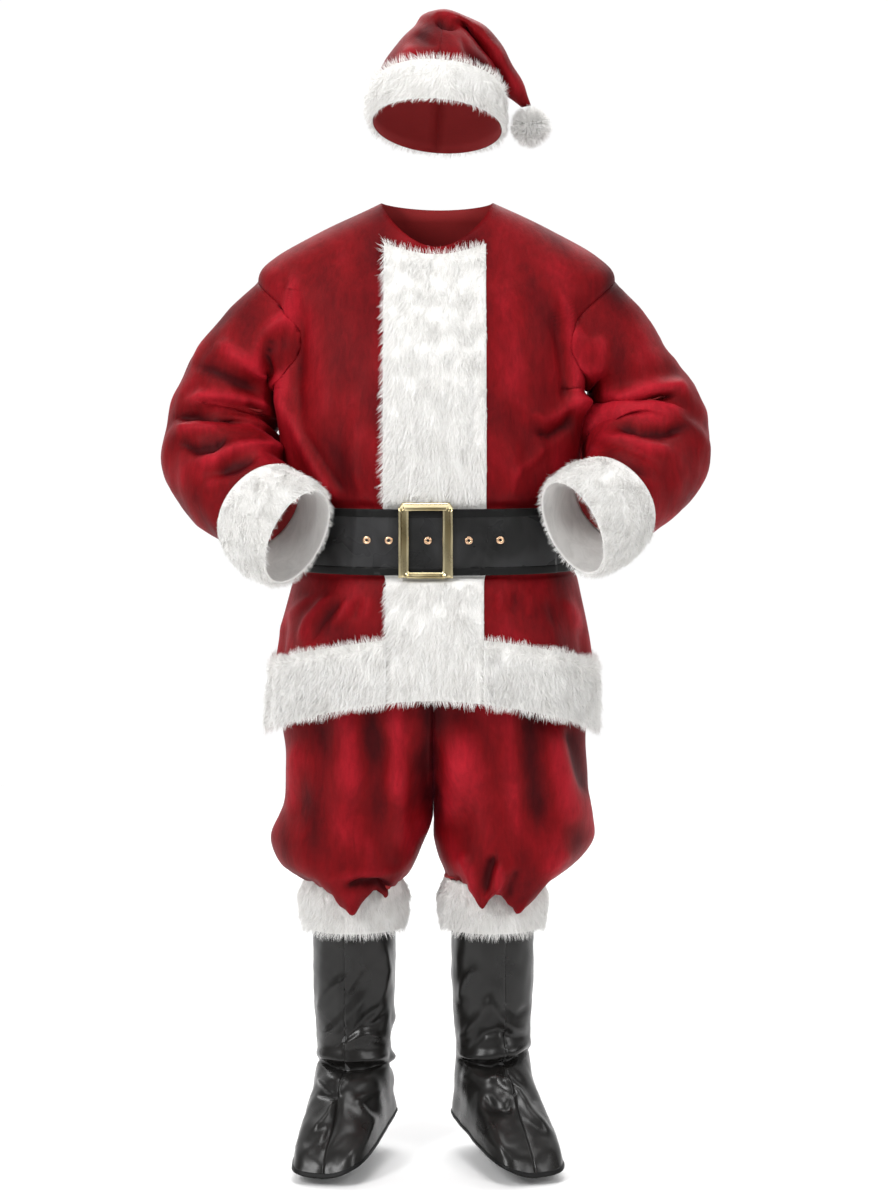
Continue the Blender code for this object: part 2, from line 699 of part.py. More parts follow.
def leg(side):
    """The surface of one trouser leg. Turn 0 is its outer side, a quarter turn its front."""
    table = LEG_LEFT if side > 0 else LEG_RIGHT

    def surface(turn, level):
        row = at(table, level)
        middle = (row.outer + row.inner) / 2
        half = (row.outer - row.inner) / 2
        front = math.sin(turn)
        depth = row.front if front > 0 else row.back
        z = row.z - row.droop * max(front, 0.0) ** 2
        fold = fold_height(LEG_FOLDS, math.degrees(turn), z) * abs(math.sin(turn))
        return Vector((MIDDLE_SEAM_X + side * (middle + half * math.cos(turn)),
                       row.y - front * (depth + fold), z))
    return surface


def leg_reach(side, level):
    """The turn at which a leg's panels end: at the middle seam, or on the inner leg."""
    row = at(LEG_LEFT if side > 0 else LEG_RIGHT, level)
    middle = (row.outer + row.inner) / 2
    half = (row.outer - row.inner) / 2
    return math.acos(max((SEAM / 2 - middle) / half, -1.0))


def make_trousers():
    levels = [0.0, 1.0, 2.0, 3.0, 3.8, 4.5, 5.1, 6.0, 6.8, 7.6, 8.3, 9.0, 10.0]
    for side, word in ((1, "left"), (-1, "right")):
        surface = leg(side)
        front = []
        back = []
        for level in levels:
            seam = SEAM / 2 / at(LEG_LEFT, level).front
            end = min(leg_reach(side, level), math.pi - seam)
            front.append([(u, level) for u in spread(seam, end, 8)])
            back.append([(u, level) for u in spread(2 * math.pi - end, 2 * math.pi - seam, 8)])
        shell("trouser_%s_front" % word, surface, front, -CLOTH, 0.0, "velvet", side)
        shell("trouser_%s_back" % word, surface, back, -CLOTH, 0.0, "velvet", side)


def make_waistband():
    """A flat casing round the waist, against the inside of the jacket under the belt."""
    low = level_at(JACKET, "z_side", -0.5245)
    high = level_at(JACKET, "z_side", -0.488)
    outer = -CLOTH - BELT_ROOM
    grid = [[(u, v) for u in front_angles(-1, v)[::-1] + front_angles(1, v)[1:]
             + back_angles(v)[1:-1]] for v in (low, high)]
    shell("trouser_waistband", jacket, grid,
          outer - 0.0045, outer, "velvet", 1, True)


def make_leg_cuff(side, word):
    """A fur ring that follows the underside of the gathered leg and meets the boot."""
    centre = Vector((LEG_CUFF_CENTRE[side], LEG_CUFF_Y, 0.0))
    count = 16

    def surface(turn, level):
        row = at(LEG_CUFF, level)
        front = math.sin(turn)
        place = Vector((side * math.cos(turn), -front, 0.0))
        droop = CUFF_DROOP * (1 - level / 2) * max(front, 0.0) ** 2
        return centre + place * row.radius + Vector((0.0, 0.0, row.z - droop))

    def pile(turn, level):
        full = dome(0.12 + 0.78 * level / 2, 0.002, 0.019)
        return full * smooth(0.1 + level / 1.1)

    levels = [0.0, 0.35, 0.9, 1.5, 2.0]
    shell("leg_cuff_" + word, surface, [ring(v, count) for v in levels],
          -0.0035, pile, "fur", side, True)


def boot(side):
    """The surface of one boot cover. Turn 0 is the toe, a quarter turn the outer side."""
    out = TOE_OUT * side
    forward = Vector((math.sin(out), -math.cos(out), 0.0))
    sideways = Vector((math.cos(out), math.sin(out), 0.0)) * side
    ankle = Vector((LEG_CUFF_CENTRE[side], LEG_CUFF_Y, 0.0))

    def surface(turn, level):
        row = at(BOOT, level)
        ahead = math.cos(turn)
        reach = row.front if ahead > 0 else row.back
        z = (row.z_front + row.z_back) / 2 + (row.z_front - row.z_back) / 2 * ahead
        toe = smooth((row.front - 0.09) / 0.1)
        narrow = 1 - 0.10 * toe * max(ahead, 0.0) ** 2
        round_toe = 1 + 0.10 * toe * math.sin(2 * turn) ** 2 * (1 if ahead > 0 else 0)
        crease = fold_height(BOOT_CREASES, math.degrees(turn), z)
        return (ankle + forward * (ahead * (reach * round_toe + crease))
                + sideways * (math.sin(turn) * (row.half * narrow * round_toe + crease))
                + Vector((0.0, 0.0, z)))
    return surface


def make_boot(side, word):
    surface = boot(side)
    levels = [0.0, 1.4, 2.6, 3.4, 4.0, 4.5, 5.2, 6.2, 7.2, 8.1] + BOOT_EDGE
    seam = SEAM / 2 / BOOT[0].half
    outer = [[(u, v) for u in spread(seam, math.pi - seam, 7)] for v in levels]
    inner = [[(u, v) for u in spread(math.pi + seam, 2 * math.pi - seam, 7)] for v in levels]
    shell("boot_%s_outer" % word, surface, outer, -VINYL, 0.0, "vinyl", -side)
    shell("boot_%s_inner" % word, surface, inner, -VINYL, 0.0, "vinyl", -side)
    shell("boot_%s_binding" % word, surface, [ring(v, 14) for v in BOOT_EDGE],
          SEAM, SEAM + BINDING, "vinyl", -side, True)


def hat(turn, level):
    """The hat's surface. Turn 0 is the outer end of a ring, a quarter turn its front."""
    row = at(HAT, level)
    out = Vector((row.x_out, 0.0, row.z_out))
    inside = Vector((row.x_in, 0.0, row.z_in))
    front = Vector((0.0, -row.depth, row.rise))
    return (out + inside) / 2 + (out - inside) / 2 * math.cos(turn) + front * math.sin(turn)


def make_hat():
    columns = 10
    levels = HAT_BAND_ROWS + [2.3, 3.1, 4.0] + spread(5.0, 12.0, 7)
    for word, start, end in (("right", -QUARTER, QUARTER), ("left", QUARTER, 3 * QUARTER)):
        grid = []
        for level in levels:
            seam = SEAM / (at(HAT, level).x_in - at(HAT, level).x_out)
            angles = spread(start, end, columns)
            angles[0] += abs(seam)
            angles[-1] -= abs(seam)
            grid.append([(u, level) for u in angles])
        shell("hat_" + word, hat, grid, -CLOTH, 0.0, "velvet")

    def pile(u, level):
        return dome(level / HAT_BAND_ROWS[-1], FUR_EDGE, FUR_PILE)

    band = [[(QUARTER + math.pi * i / columns, v) for i in range(2 * columns)]
            for v in HAT_BAND_ROWS]
    shell("hat_fur_band", hat, band, SEAM, pile, "fur", 1, True)


def make_pompom():
    """A fur ball with a shallow dimple where the tail's tip enters it."""
    tip = HAT[-1]
    before = HAT[-2]
    middle = Vector((tip.x_out + tip.x_in, 0.0, tip.z_out + tip.z_in)) / 2
    above = Vector((before.x_out + before.x_in, 0.0, before.z_out + before.z_in)) / 2
    way = (middle - above).normalized()
    side = way.cross(Vector((0.0, 1.0, 0.0))).normalized()
    front = Vector((0.0, -1.0, 0.0))
    centre = middle + way * (POMPOM_RADIUS + TAIL_SLANT)
    turns = 12
    bands = 8
    points = [centre - way * POMPOM_RADIUS]
    for i in range(1, bands):
        tilt = math.pi * i / bands
        for j in range(turns):
            turn = 2 * math.pi * j / turns
            radius = POMPOM_RADIUS * (1 + 0.05 * math.sin(3 * turn + 5 * tilt) * math.sin(tilt))
            points.append(centre - way * (radius * math.cos(tilt))
                          + (side * math.cos(turn) + front * math.sin(turn))
                          * (radius * math.sin(tilt)))
    points.append(centre + way * POMPOM_RADIUS)
    faces = []
    for j in range(turns):
        k = (j + 1) % turns
        faces.append((0, 1 + k, 1 + j))
        last = 1 + (bands - 2) * turns
        faces.append((len(points) - 1, last + j, last + k))
        for i in range(bands - 2):
            a = 1 + i * turns + j
            b = 1 + i * turns + k
            faces.append((a, b, b + turns, a + turns))
    add_object("hat_pompom", points, faces, "fur")


def main():
    for old in list(bpy.data.objects):
        bpy.data.objects.remove(old, do_unlink=True)
    make_hat()
    make_pompom()
    make_jacket()
    make_front_band()
    make_hem_band()
    make_belt()
    make_buckle()
    make_eyelets()
    make_trousers()
    make_waistband()
    for side, word in ((1, "left"), (-1, "right")):
        make_sleeve(side, word)
        make_cuff(side, word)
        make_leg_cuff(side, word)
        make_boot(side, word)


main()
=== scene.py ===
"""The looks of the santa suit: velvet panels with their folds and creases, fur bands
made of strands, the belt with its buckle, and the vinyl boot covers.

Metres, +Z up, the suit faces -Y and its left side lies on +X. Each panel is drawn on
the same smooth surface as its solid, as a grid of (u, v) places.
"""
import math
from collections import namedtuple

import bpy
import numpy as np
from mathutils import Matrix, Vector


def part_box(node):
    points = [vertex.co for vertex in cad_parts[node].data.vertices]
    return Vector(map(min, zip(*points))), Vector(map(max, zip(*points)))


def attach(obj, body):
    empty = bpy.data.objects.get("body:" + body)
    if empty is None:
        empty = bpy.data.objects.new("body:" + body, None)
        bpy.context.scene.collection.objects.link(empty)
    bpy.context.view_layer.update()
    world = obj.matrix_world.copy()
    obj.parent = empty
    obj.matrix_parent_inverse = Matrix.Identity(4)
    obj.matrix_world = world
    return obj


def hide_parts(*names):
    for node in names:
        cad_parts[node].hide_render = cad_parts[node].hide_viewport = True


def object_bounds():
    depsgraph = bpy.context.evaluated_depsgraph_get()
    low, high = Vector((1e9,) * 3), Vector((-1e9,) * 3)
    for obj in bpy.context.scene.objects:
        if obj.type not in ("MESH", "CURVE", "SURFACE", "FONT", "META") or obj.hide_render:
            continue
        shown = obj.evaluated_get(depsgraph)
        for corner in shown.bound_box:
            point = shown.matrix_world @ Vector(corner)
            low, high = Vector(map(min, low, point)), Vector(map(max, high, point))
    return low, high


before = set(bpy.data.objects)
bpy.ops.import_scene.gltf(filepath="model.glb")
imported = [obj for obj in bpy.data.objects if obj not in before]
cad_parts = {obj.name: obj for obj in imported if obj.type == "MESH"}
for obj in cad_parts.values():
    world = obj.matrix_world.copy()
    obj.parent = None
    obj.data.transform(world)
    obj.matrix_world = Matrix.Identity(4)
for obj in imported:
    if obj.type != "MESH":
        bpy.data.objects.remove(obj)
SOLID_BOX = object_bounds()

SEAM = 0.0003           # gap between pieces that are sewn or lie together
CLOTH = 0.0016          # velvet with its knitted back
VINYL = 0.0015          # boot covers
STRAP = 0.0022          # belt
BINDING = 0.0008        # bound edge on belt and boots

BELT_TOP = -0.455
BELT_BOTTOM = -0.557
BELT_LIFT = 0.0042      # the strap passes over the pressed front fur band
BINDING_WIDTH = 0.013
STEP = 1e-4             # distance used to find a normal


def rows_of(kind, text):
    """A table: each line of the text has the numbers of a row, in the kind's columns."""
    return [kind(*map(float, line.split())) for line in text.strip().splitlines()]


# Jacket, one row for each ring from the hem (0) to the neck (12)
Torso = namedtuple("Torso", "level shift width front back z_side z_front z_back")
JACKET = rows_of(Torso, """
0 -.007 .261 .2 .168 -.812 -.748 -.8
1 -.005 .252 .192 .16 -.7 -.65 -.69
2 -.003 .229 .174 .143 -.585 -.578 -.585
2.9 -.003 .221 .167 .136 -.5605 -.5605 -.5605
3 -.003 .221 .167 .136 -.557 -.557 -.557
4 -.003 .221 .167 .136 -.455 -.455 -.455
4.1 -.003 .221 .167 .136 -.4515 -.4515 -.4515
5 -.006 .232 .176 .148 -.425 -.425 -.425
6 -.009 .237 .172 .152 -.34 -.34 -.34
7 -.008 .238 .158 .15 -.262 -.262 -.262
8 -.003 .254 .138 .143 -.175 -.19 -.175
9 0 .288 .118 .13 -.104 -.135 -.11
10 0 .254 .104 .116 -.064 -.105 -.068
11 0 .18 .094 .098 -.024 -.078 -.026
12 0 .088 .086 .078 .02 -.052 .012""")
SQUARENESS = 0.05
ARMPIT_Z = -0.272
ARMHOLE_TOP_Z = -0.104
ARMHOLE_REACH = math.radians(37)

# Large folds of the jacket: where each starts and ends, how wide and how high
Fold = namedtuple("Fold", "low_angle high_angle spread low_z high_z height")
JACKET_FOLDS = rows_of(Fold, """
-66 -70 9 -.47 -.12 .014
64 66 9 -.46 -.11 .016
-38 -30 6 -.46 -.2 -.007
40 30 6 -.45 -.22 -.007
-22 -34 6 -.5 -.3 .006
24 36 6 -.5 -.3 .006
-52 -40 8 -.9 -.55 .012
-30 -26 6 -.9 -.56 -.006
50 40 8 -.9 -.55 .011
72 66 7 -.9 -.56 -.01
-78 -72 7 -.9 -.56 -.01
120 118 10 -.9 -.55 .013
-124 -120 10 -.9 -.55 .013
150 150 8 -.9 -.56 -.009
-152 -150 8 -.9 -.56 -.009
180 180 9 -.9 -.55 .012
150 128 9 -.47 -.16 .01
-150 -130 9 -.47 -.16 .011
176 172 8 -.46 -.24 -.007""")

# Arms beyond the armhole: middle, half width and half depth of each ring. The sleeve
# runs to level 4 and the fur cuff from there to level 6.
Arm = namedtuple("Arm", "level x y z across deep")
ARMS = {
    1: rows_of(Arm, """
    0 .309 .004 -.252 .071 .088
    1 .336 .004 -.315 .089 .088
    2 .338 -.03 -.368 .093 .084
    3 .312 -.088 -.411 .086 .078
    4 .274 -.139 -.443 .076 .07
    5 .241 -.182 -.465 .078 .068
    6 .207 -.209 -.481 .076 .064"""),
    -1: rows_of(Arm, """
    0 .322 .004 -.25 .074 .088
    1 .338 .004 -.318 .087 .088
    2 .341 -.03 -.376 .092 .084
    3 .315 -.089 -.424 .086 .078
    4 .274 -.14 -.455 .077 .07
    5 .244 -.182 -.479 .079 .068
    6 .212 -.209 -.495 .077 .064"""),
}
SLEEVE_END = 4.0
CUFF_PRESS = 0.55       # how far the cuff's fur is flattened where it rests on the jacket
CUFF_END = 6.0
ARMHOLE_PULL = 0.10     # how firmly a sleeve leaves its armhole

# Creases of the sleeves: ring level, angle round the ring, spread of both, height
Gather = namedtuple("Gather", "level angle levels degrees height")
SLEEVE_GATHERS = rows_of(Gather, """
1.25 200 .22 60 -.01
1.75 215 .2 60 .008
2.25 190 .22 65 -.01
.75 150 .22 45 .007
2.75 215 .22 60 .007
1.6 60 .25 50 -.006
2.05 40 .25 50 .006
3.35 120 .25 60 -.006
3.45 320 .25 60 -.006""")

# Trousers, one row for each ring of a leg. outer and inner are distances from the
# middle seam; a ring whose inner side lies past that seam is cut off there.
MIDDLE_SEAM_X = -0.006
Leg = namedtuple("Leg", "level z outer inner front back y droop")
LEG_LEFT = rows_of(Leg, """
0 -.5249 .219 -.219 .157 .126 0 0
1 -.64 .222 -.21 .16 .13 0 0
2 -.76 .238 -.15 .16 .136 0 0
3 -.85 .246 -.07 .152 .137 0 0
4 -.92 .25 -.012 .14 .134 0 0
5 -.955 .254 .0004 .137 .131 0 0
6 -.99 .257 .001 .137 .128 0 .002
7 -1.02 .24 .006 .136 .124 0 .012
8 -1.043 .21 .016 .124 .112 0 .032
9 -1.054 .184 .021 .104 .094 0 .044
10 -1.046 .171 .0205 .08 .076 0 .03""")
LEG_RIGHT = rows_of(Leg, """
0 -.5249 .212 -.212 .157 .126 0 0
1 -.64 .218 -.21 .16 .13 0 0
2 -.76 .24 -.15 .16 .136 0 0
3 -.85 .236 -.07 .152 .137 0 0
4 -.92 .236 -.012 .14 .134 0 0
5 -.955 .246 .0004 .137 .131 0 0
6 -.99 .259 .012 .137 .128 0 .002
7 -1.02 .254 .022 .136 .124 0 .012
8 -1.043 .236 .036 .124 .112 0 .032
9 -1.054 .213 .049 .104 .094 0 .044
10 -1.046 .2035 .053 .08 .076 0 .03""")

# Large folds of a leg: angle from its outer side by way of the front
LEG_FOLDS = rows_of(Fold, """
62 40 10 -1.046 -.8 .01
95 84 9 -1.046 -.72 -.008
125 100 9 -1.046 -.78 .009
20 24 10 -1.046 -.86 -.006
235 250 12 -1.046 -.8 .009
275 268 10 -1.046 -.74 -.008
315 300 12 -1.046 -.8 .009""")

# Fur band below each leg: height and inner radius of its rings, top to bottom
LEG_CUFF_Y = 0.002
LegCuff = namedtuple("LegCuff", "level z radius")
LEG_CUFF = rows_of(LegCuff, """
0 -1.0478 .0752
1 -1.085 .0745
2 -1.135 .0725""")
CUFF_DROOP = 0.034
# Points in which a leg's front droops: turn in degrees, spread, share of the droop
TIPS = {1: [(67, 17, 1.0), (108, 10, 0.85)], -1: [(92, 19, 1.0), (132, 13, 0.5)]}
LEG_CUFF_CENTRE = {1: 0.0895, -1: -0.1340}

# Boot covers, rings from the top down; front and back are measured from the ankle
Boot = namedtuple("Boot", "level z_front z_back front back half")
BOOT = rows_of(Boot, """
0 -1.098 -1.098 .0668 .0668 .0668
1 -1.16 -1.16 .0668 .068 .0668
2 -1.23 -1.23 .066 .068 .066
3 -1.3 -1.3 .061 .062 .062
4 -1.338 -1.345 .062 .06 .059
5 -1.37 -1.375 .086 .063 .061
6 -1.402 -1.402 .12 .066 .062
7 -1.436 -1.424 .158 .068 .063
8 -1.466 -1.438 .194 .07 .064
9 -1.494 -1.454 .212 .071 .065""")
TOE_OUT = {1: math.radians(18), -1: math.radians(12)}
INNER_RISE = 0.026      # the lower edge is higher on the boot's inner side
TOE_SQUARE = 2.6        # 0 for a round toe
BOOT_CREASES = rows_of(Fold, """
0 0 50 -1.372 -1.328 -.006
20 0 45 -1.35 -1.3 .004
150 160 40 -1.39 -1.33 -.004""")
BOOT_EDGE = [8.75, 9.0]

# Hat rings from the brim over the top and down the tail. out and in are the two
# ends of each ring as seen from the front; rise lifts the ring's front side.
Crown = namedtuple("Crown", "level x_out z_out x_in z_in depth rise")
HAT = rows_of(Crown, """
0 -.101 .146 .102 .132 .117 .034
1 -.101 .184 .102 .171 .115 .036
2 -.089 .222 .099 .212 .101 .03
3 -.063 .264 .078 .248 .079 .018
4 -.038 .291 .055 .277 .06 .008
5 -.023 .312 .0465 .2875 .048 .002
6 .001 .3205 .0475 .2915 .041 0
7 .03 .3175 .05 .288 .037 0
8 .058 .305 .056 .276 .034 0
9 .088 .286 .066 .256 .031 0
10 .1135 .246 .082 .23 .028 0
11 .138 .202 .104 .193 .023 0
12 .148 .172 .133 .169 .01 0""")
HAT_BAND_ROWS = [0.0, 0.25, 0.75, 1.3, 1.55]

# Front fur band: half width above and below the belt, and its middle
FRONT_BAND_X = -0.003
FRONT_BAND_HALF = 0.079
FRONT_BAND_TOP = 11.5
HEM_ROWS = [0.0, 0.15, 0.5, 0.82, 0.98]

BUCKLE_X = -0.0165
BUCKLE_Z = -0.503
BUCKLE_WIDTH = 0.081
BUCKLE_HEIGHT = 0.128
BUCKLE_BAR = 0.0155
BUCKLE_DEPTH = 0.0075
EYELETS_X = (-0.105, -0.072, -0.0134, 0.048, 0.095)
EYELET_OUTER = 0.006
EYELET_HEIGHT = 0.0012
TAIL_ANGLE = math.radians(52)
TAIL_RISE = 0.0040

# The photograph is 889 by 1200 pixels. The camera stands where it stood: distance in
# metres, height of the lens, tilt down, and the lens's scale in those pixels.
PHOTO_WIDTH = 889
PHOTO_HEIGHT = 1200
CAMERA_X = 0.0119
CAMERA_Y = -4.7
CAMERA_Z = -0.210
CAMERA_TILT = math.radians(4.857)
CAMERA_SCALE = 2954.65

FINE = 4                # the lining's grid has every fourth row and column of the face's
LINING_CLEAR = 0.0010   # extra room between a face and the coarser lining behind it
SEAM_DIP = 0.0010       # how far cloth sinks beside a seam
SEAM_WIDTH = 0.005
SEWN = -0.0004          # sewn panels overlap by this much, so no light comes between them


def photo_place(points):
    """Pixel of the photograph at which points appear."""
    forward = np.array([0.0, math.cos(CAMERA_TILT), -math.sin(CAMERA_TILT)])
    up = np.array([0.0, math.sin(CAMERA_TILT), math.cos(CAMERA_TILT)])
    away = points - np.array([CAMERA_X, CAMERA_Y, CAMERA_Z])
    depth = away @ forward
    return np.stack([PHOTO_WIDTH / 2 + CAMERA_SCALE * away[..., 0] / depth,
                     PHOTO_HEIGHT / 2 - CAMERA_SCALE * (away @ up) / depth], -1)


# A crease runs along a path of photograph pixels. Its width is in pixels and its height
# in millimetres, below zero for a trough; sharp is 0 for a round section and 1 for a cusp.
Crease = namedtuple("Crease", "path width height sharp")


def creases(text):
    """Creases from lines of text: width, height and sharpness, and then the path."""
    made = []
    for line in text.strip().splitlines():
        width, height, sharp, *path = line.split()
        made.append(Crease([tuple(map(float, place.split(","))) for place in path],
                           float(width), float(height), float(sharp)))
    return made


def crease_height(table, points):
    """How far creases push a surface out where points of it appear in the photograph."""
    seen = photo_place(points)
    total = np.zeros(seen.shape[:-1])
    for crease in table:
        path = np.array(crease.path, float)
        steps = np.linalg.norm(np.diff(path, axis=0), axis=1)
        nearest = np.full(total.shape, 1e9)
        place = np.zeros(total.shape)
        done = 0.0
        for start, end, step in zip(path[:-1], path[1:], steps):
            along = (seen - start) @ (end - start) / step ** 2
            inside = np.clip(along, 0.0, 1.0)[..., None]
            off = np.linalg.norm(seen - start - inside * (end - start), axis=-1)
            closer = off < nearest
            nearest = np.where(closer, off, nearest)
            place = np.where(closer, (done + inside[..., 0] * step) / steps.sum(), place)
            done += step
        off = nearest / (crease.width * (0.6 + 0.4 * np.sin(math.pi * place)))
        section = (1 - crease.sharp) * np.exp(-off * off) + crease.sharp * np.exp(-1.6 * off)
        ends = smooth(place / 0.25 + 0.05) * smooth((1 - place) / 0.25 + 0.05)
        total += crease.height * 1e-3 * section * ends
    return total


MIRRORED = np.array([-1.0, 1.0, 1.0])


def all_round(table, points, facing, back=None):
    """Creases of the front, and on the hidden side like ones, left and right exchanged
    unless it has its own. facing is -1 where the cloth faces back and 1 at the front."""
    front = np.clip(facing * 2.5 + 0.3, 0.0, 1.0)
    behind = np.clip(-facing * 2.5 + 0.1, 0.0, 1.0)
    hidden = crease_height(back, points) if back else crease_height(table, points * MIRRORED)
    return crease_height(table, points) * front + hidden * behind


def waves(points, size, seed, layers=5):
    """Soft noise from -1 to 1 with features of a size in metres."""
    chance = np.random.default_rng(seed)
    total = np.zeros(points.shape[:-1])
    for _ in range(layers):
        way = unit(chance.normal(size=3)) * (2 * math.pi / size) * chance.uniform(0.6, 1.5)
        total += np.sin(points @ way + chance.uniform(0, 2 * math.pi))
    return total / math.sqrt(layers * 1.2)


def add_mesh(name, points, quads, triangles, looks, quad_looks=None):
    """A mesh object from arrays of points and faces."""
    mesh = bpy.data.meshes.new(name)
    corners = np.concatenate([np.ravel(quads), np.ravel(triangles)]).astype(np.int32)
    sizes = np.concatenate([np.full(len(quads), 4), np.full(len(triangles), 3)])
    starts = np.concatenate([[0], np.cumsum(sizes)[:-1]]).astype(np.int32)
    mesh.vertices.add(len(points))
    mesh.vertices.foreach_set("co", np.ravel(points).astype(np.float32))
    mesh.loops.add(len(corners))
    mesh.loops.foreach_set("vertex_index", corners)
    mesh.polygons.add(len(sizes))
    mesh.polygons.foreach_set("loop_start", starts)
    for look in looks:
        mesh.materials.append(look)
    if quad_looks is not None:
        indices = np.zeros(len(sizes), np.int32)
        indices[:len(quad_looks)] = quad_looks
        mesh.polygons.foreach_set("material_index", indices)
    mesh.update(calc_edges=True)
    mesh.shade_smooth()
    made = bpy.data.objects.new(name, mesh)
    bpy.context.scene.collection.objects.link(made)
    return made


def settle(piece, slot, *nodes):
    """The piece stands for nodes, whose solids it hides, and rides on the suit; slot is not used.
    """
    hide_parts(*nodes)
    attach(piece, "root")
    return piece


def grid_quads(rows, columns, closed):
    """Corner numbers of a grid's quads, and of the same grid's first and last columns."""
    r, c = np.meshgrid(np.arange(rows - 1), np.arange(columns if closed else columns - 1),
                       indexing="ij")
    a = r * columns + c
    b = r * columns + (c + 1) % columns
    return np.stack([a, b, b + columns, a + columns], -1).reshape(-1, 4)


def rim(fine, coarse, ratio):
    """Triangles that join an edge of the face to the lining's edge, which has fewer points."""
    triangles = []
    for i in range(len(coarse) - 1):
        for j in range(ratio):
            k = i * ratio + j
            triangles.append((coarse[i], fine[k + 1], fine[k]))
        triangles.append((coarse[i], coarse[i + 1], fine[(i + 1) * ratio]))
    return np.array(triangles).reshape(-1, 3)


def wall(name, face, back, looks, closed=False, flip=False, ratio=FINE, pile_and_crease_shade=None):
    """A closed wall between a fine face and a back with every ratio-th of its points.
    Both are grids of points, and a closed grid's rows are rings. The last argument gives for
    each point of the face the velvet's painted shade, from 0 to 1: painted shade in troughs,
    painted highlight on ridges, and random patches of the pile."""
    rows, columns = face.shape[:2]
    back = back[::ratio, ::ratio]
    back_rows, back_columns = back.shape[:2]
    size = rows * columns
    quads = grid_quads(rows, columns, closed)
    lining = grid_quads(back_rows, back_columns, closed)[:, ::-1] + size
    edges = []
    fine_rows = np.arange(size).reshape(rows, columns)
    coarse_rows = np.arange(back_rows * back_columns).reshape(back_rows, back_columns) + size
    for row, turn in ((0, 1), (-1, -1)):
        fine = fine_rows[row]
        coarse = coarse_rows[row]
        if closed:
            fine = np.append(fine, fine[0])
            coarse = np.append(coarse, coarse[0])
        edges.append(rim(fine, coarse, ratio)[:, ::turn])
    if not closed:
        for column, turn in ((0, -1), (-1, 1)):
            edges.append(rim(fine_rows[:, column], coarse_rows[:, column], ratio)[:, ::turn])
    triangles = np.concatenate(edges)
    faces = np.concatenate([quads, lining])
    which = np.concatenate([np.zeros(len(quads)), np.full(len(lining), len(looks) - 1)])
    if flip:
        faces = faces[:, ::-1]
        triangles = triangles[:, ::-1]
    points = np.concatenate([face.reshape(-1, 3), back.reshape(-1, 3)])
    made = add_mesh(name, points, faces, triangles, looks, which.astype(np.int32))
    # The velvet's painted shade and painted highlight are stored on the points as an attribute.
    if pile_and_crease_shade is not None:
        values = np.full(len(points), 0.5, np.float32)
        values[:size] = np.ravel(pile_and_crease_shade)
        made.data.attributes.new("pile_and_crease_shade", "FLOAT", "POINT").data.foreach_set("value", values)
    return made


def along(points, axis):
    """Distance from the start of each row, or of each column, of a grid of points."""
    steps = np.linalg.norm(np.diff(points, axis=axis), axis=-1)
    start = np.zeros_like(np.take(steps, [0], axis=axis))
    return np.concatenate([start, np.cumsum(steps, axis=axis)], axis=axis)


def keep_cut(points, closed):
    """Does nothing to the piece: for a closed grid it only makes a local copy with the first
    column added again.
    """
    if closed:
        points = np.concatenate([points, points[:, :1]], 1)


def seam_sink(points, closed):
    """The sinking of cloth beside the panel's sewn sides."""
    if closed:
        return 0.0
    from_start = along(points, 1)
    from_end = from_start[:, -1:] - from_start
    off = np.minimum(from_start, from_end) / SEAM_WIDTH
    return SEAM_DIP * np.exp(-off * off)


def ring(columns):
    """Angles of a ring's points."""
    return np.arange(columns) * 2 * math.pi / columns


def lifted(base, away, height):
    """Points moved out from a surface by a height."""
    return base + away * height[..., None]


def cells(length, size):
    """How many grid cells of a size a length has, as a multiple of the lining's ratio."""
    return FINE * max(int(round(length / size / FINE)), 2)


# Creases of the jacket's front below and beside the arms
JACKET_CREASES = creases("""
7 8.1 .1  296,262 291,305 284,350 281,400 286,440
6 -4.1 .1  305,290 302,340 298,390 304,430
6 6.1 .15  284,400 296,430 312,462 326,486 344,504
4 -3.4 .2  300,425 316,452 330,474 350,498
3.5 2.2 .2  352,470 360,485 362,505
3 -1.6 .2  383,480 381,494 377,507
7 8.1 .1  560,285 568,318 575,358 576,400 566,428
6 -4.3 .1  552,300 560,340 566,380 564,415
5 -6.8 .25  574,405 566,425 550,436 532,430
5 4.1 .2  572,396 560,414 545,420 528,412
5 2.2 .2  512,395 524,410 530,430
5 3.2 .2  548,445 535,458 522,470
4 2.7 .2  525,462 515,478 512,498
4 3.5 .2  275,640 291,614 306,600 318,594
5 5.7 .2  299,645 308,620 322,603 334,594
4 -4.9 .3  309,646 322,622 336,606 344,596
4 3.5 .2  334,628 344,610 350,598
4 -3.2 .3  352,622 356,608 360,596
4 2.2 .2  366,620 368,606 370,594
4 2.4 .2  500,612 500,600 498,590
4 -3 .3  512,616 516,602 514,590
5 3.2 .2  528,618 530,604 528,590
5 -2.7 .3  556,626 552,610 548,596
6 4.1 .2  580,634 573,612 562,598""")

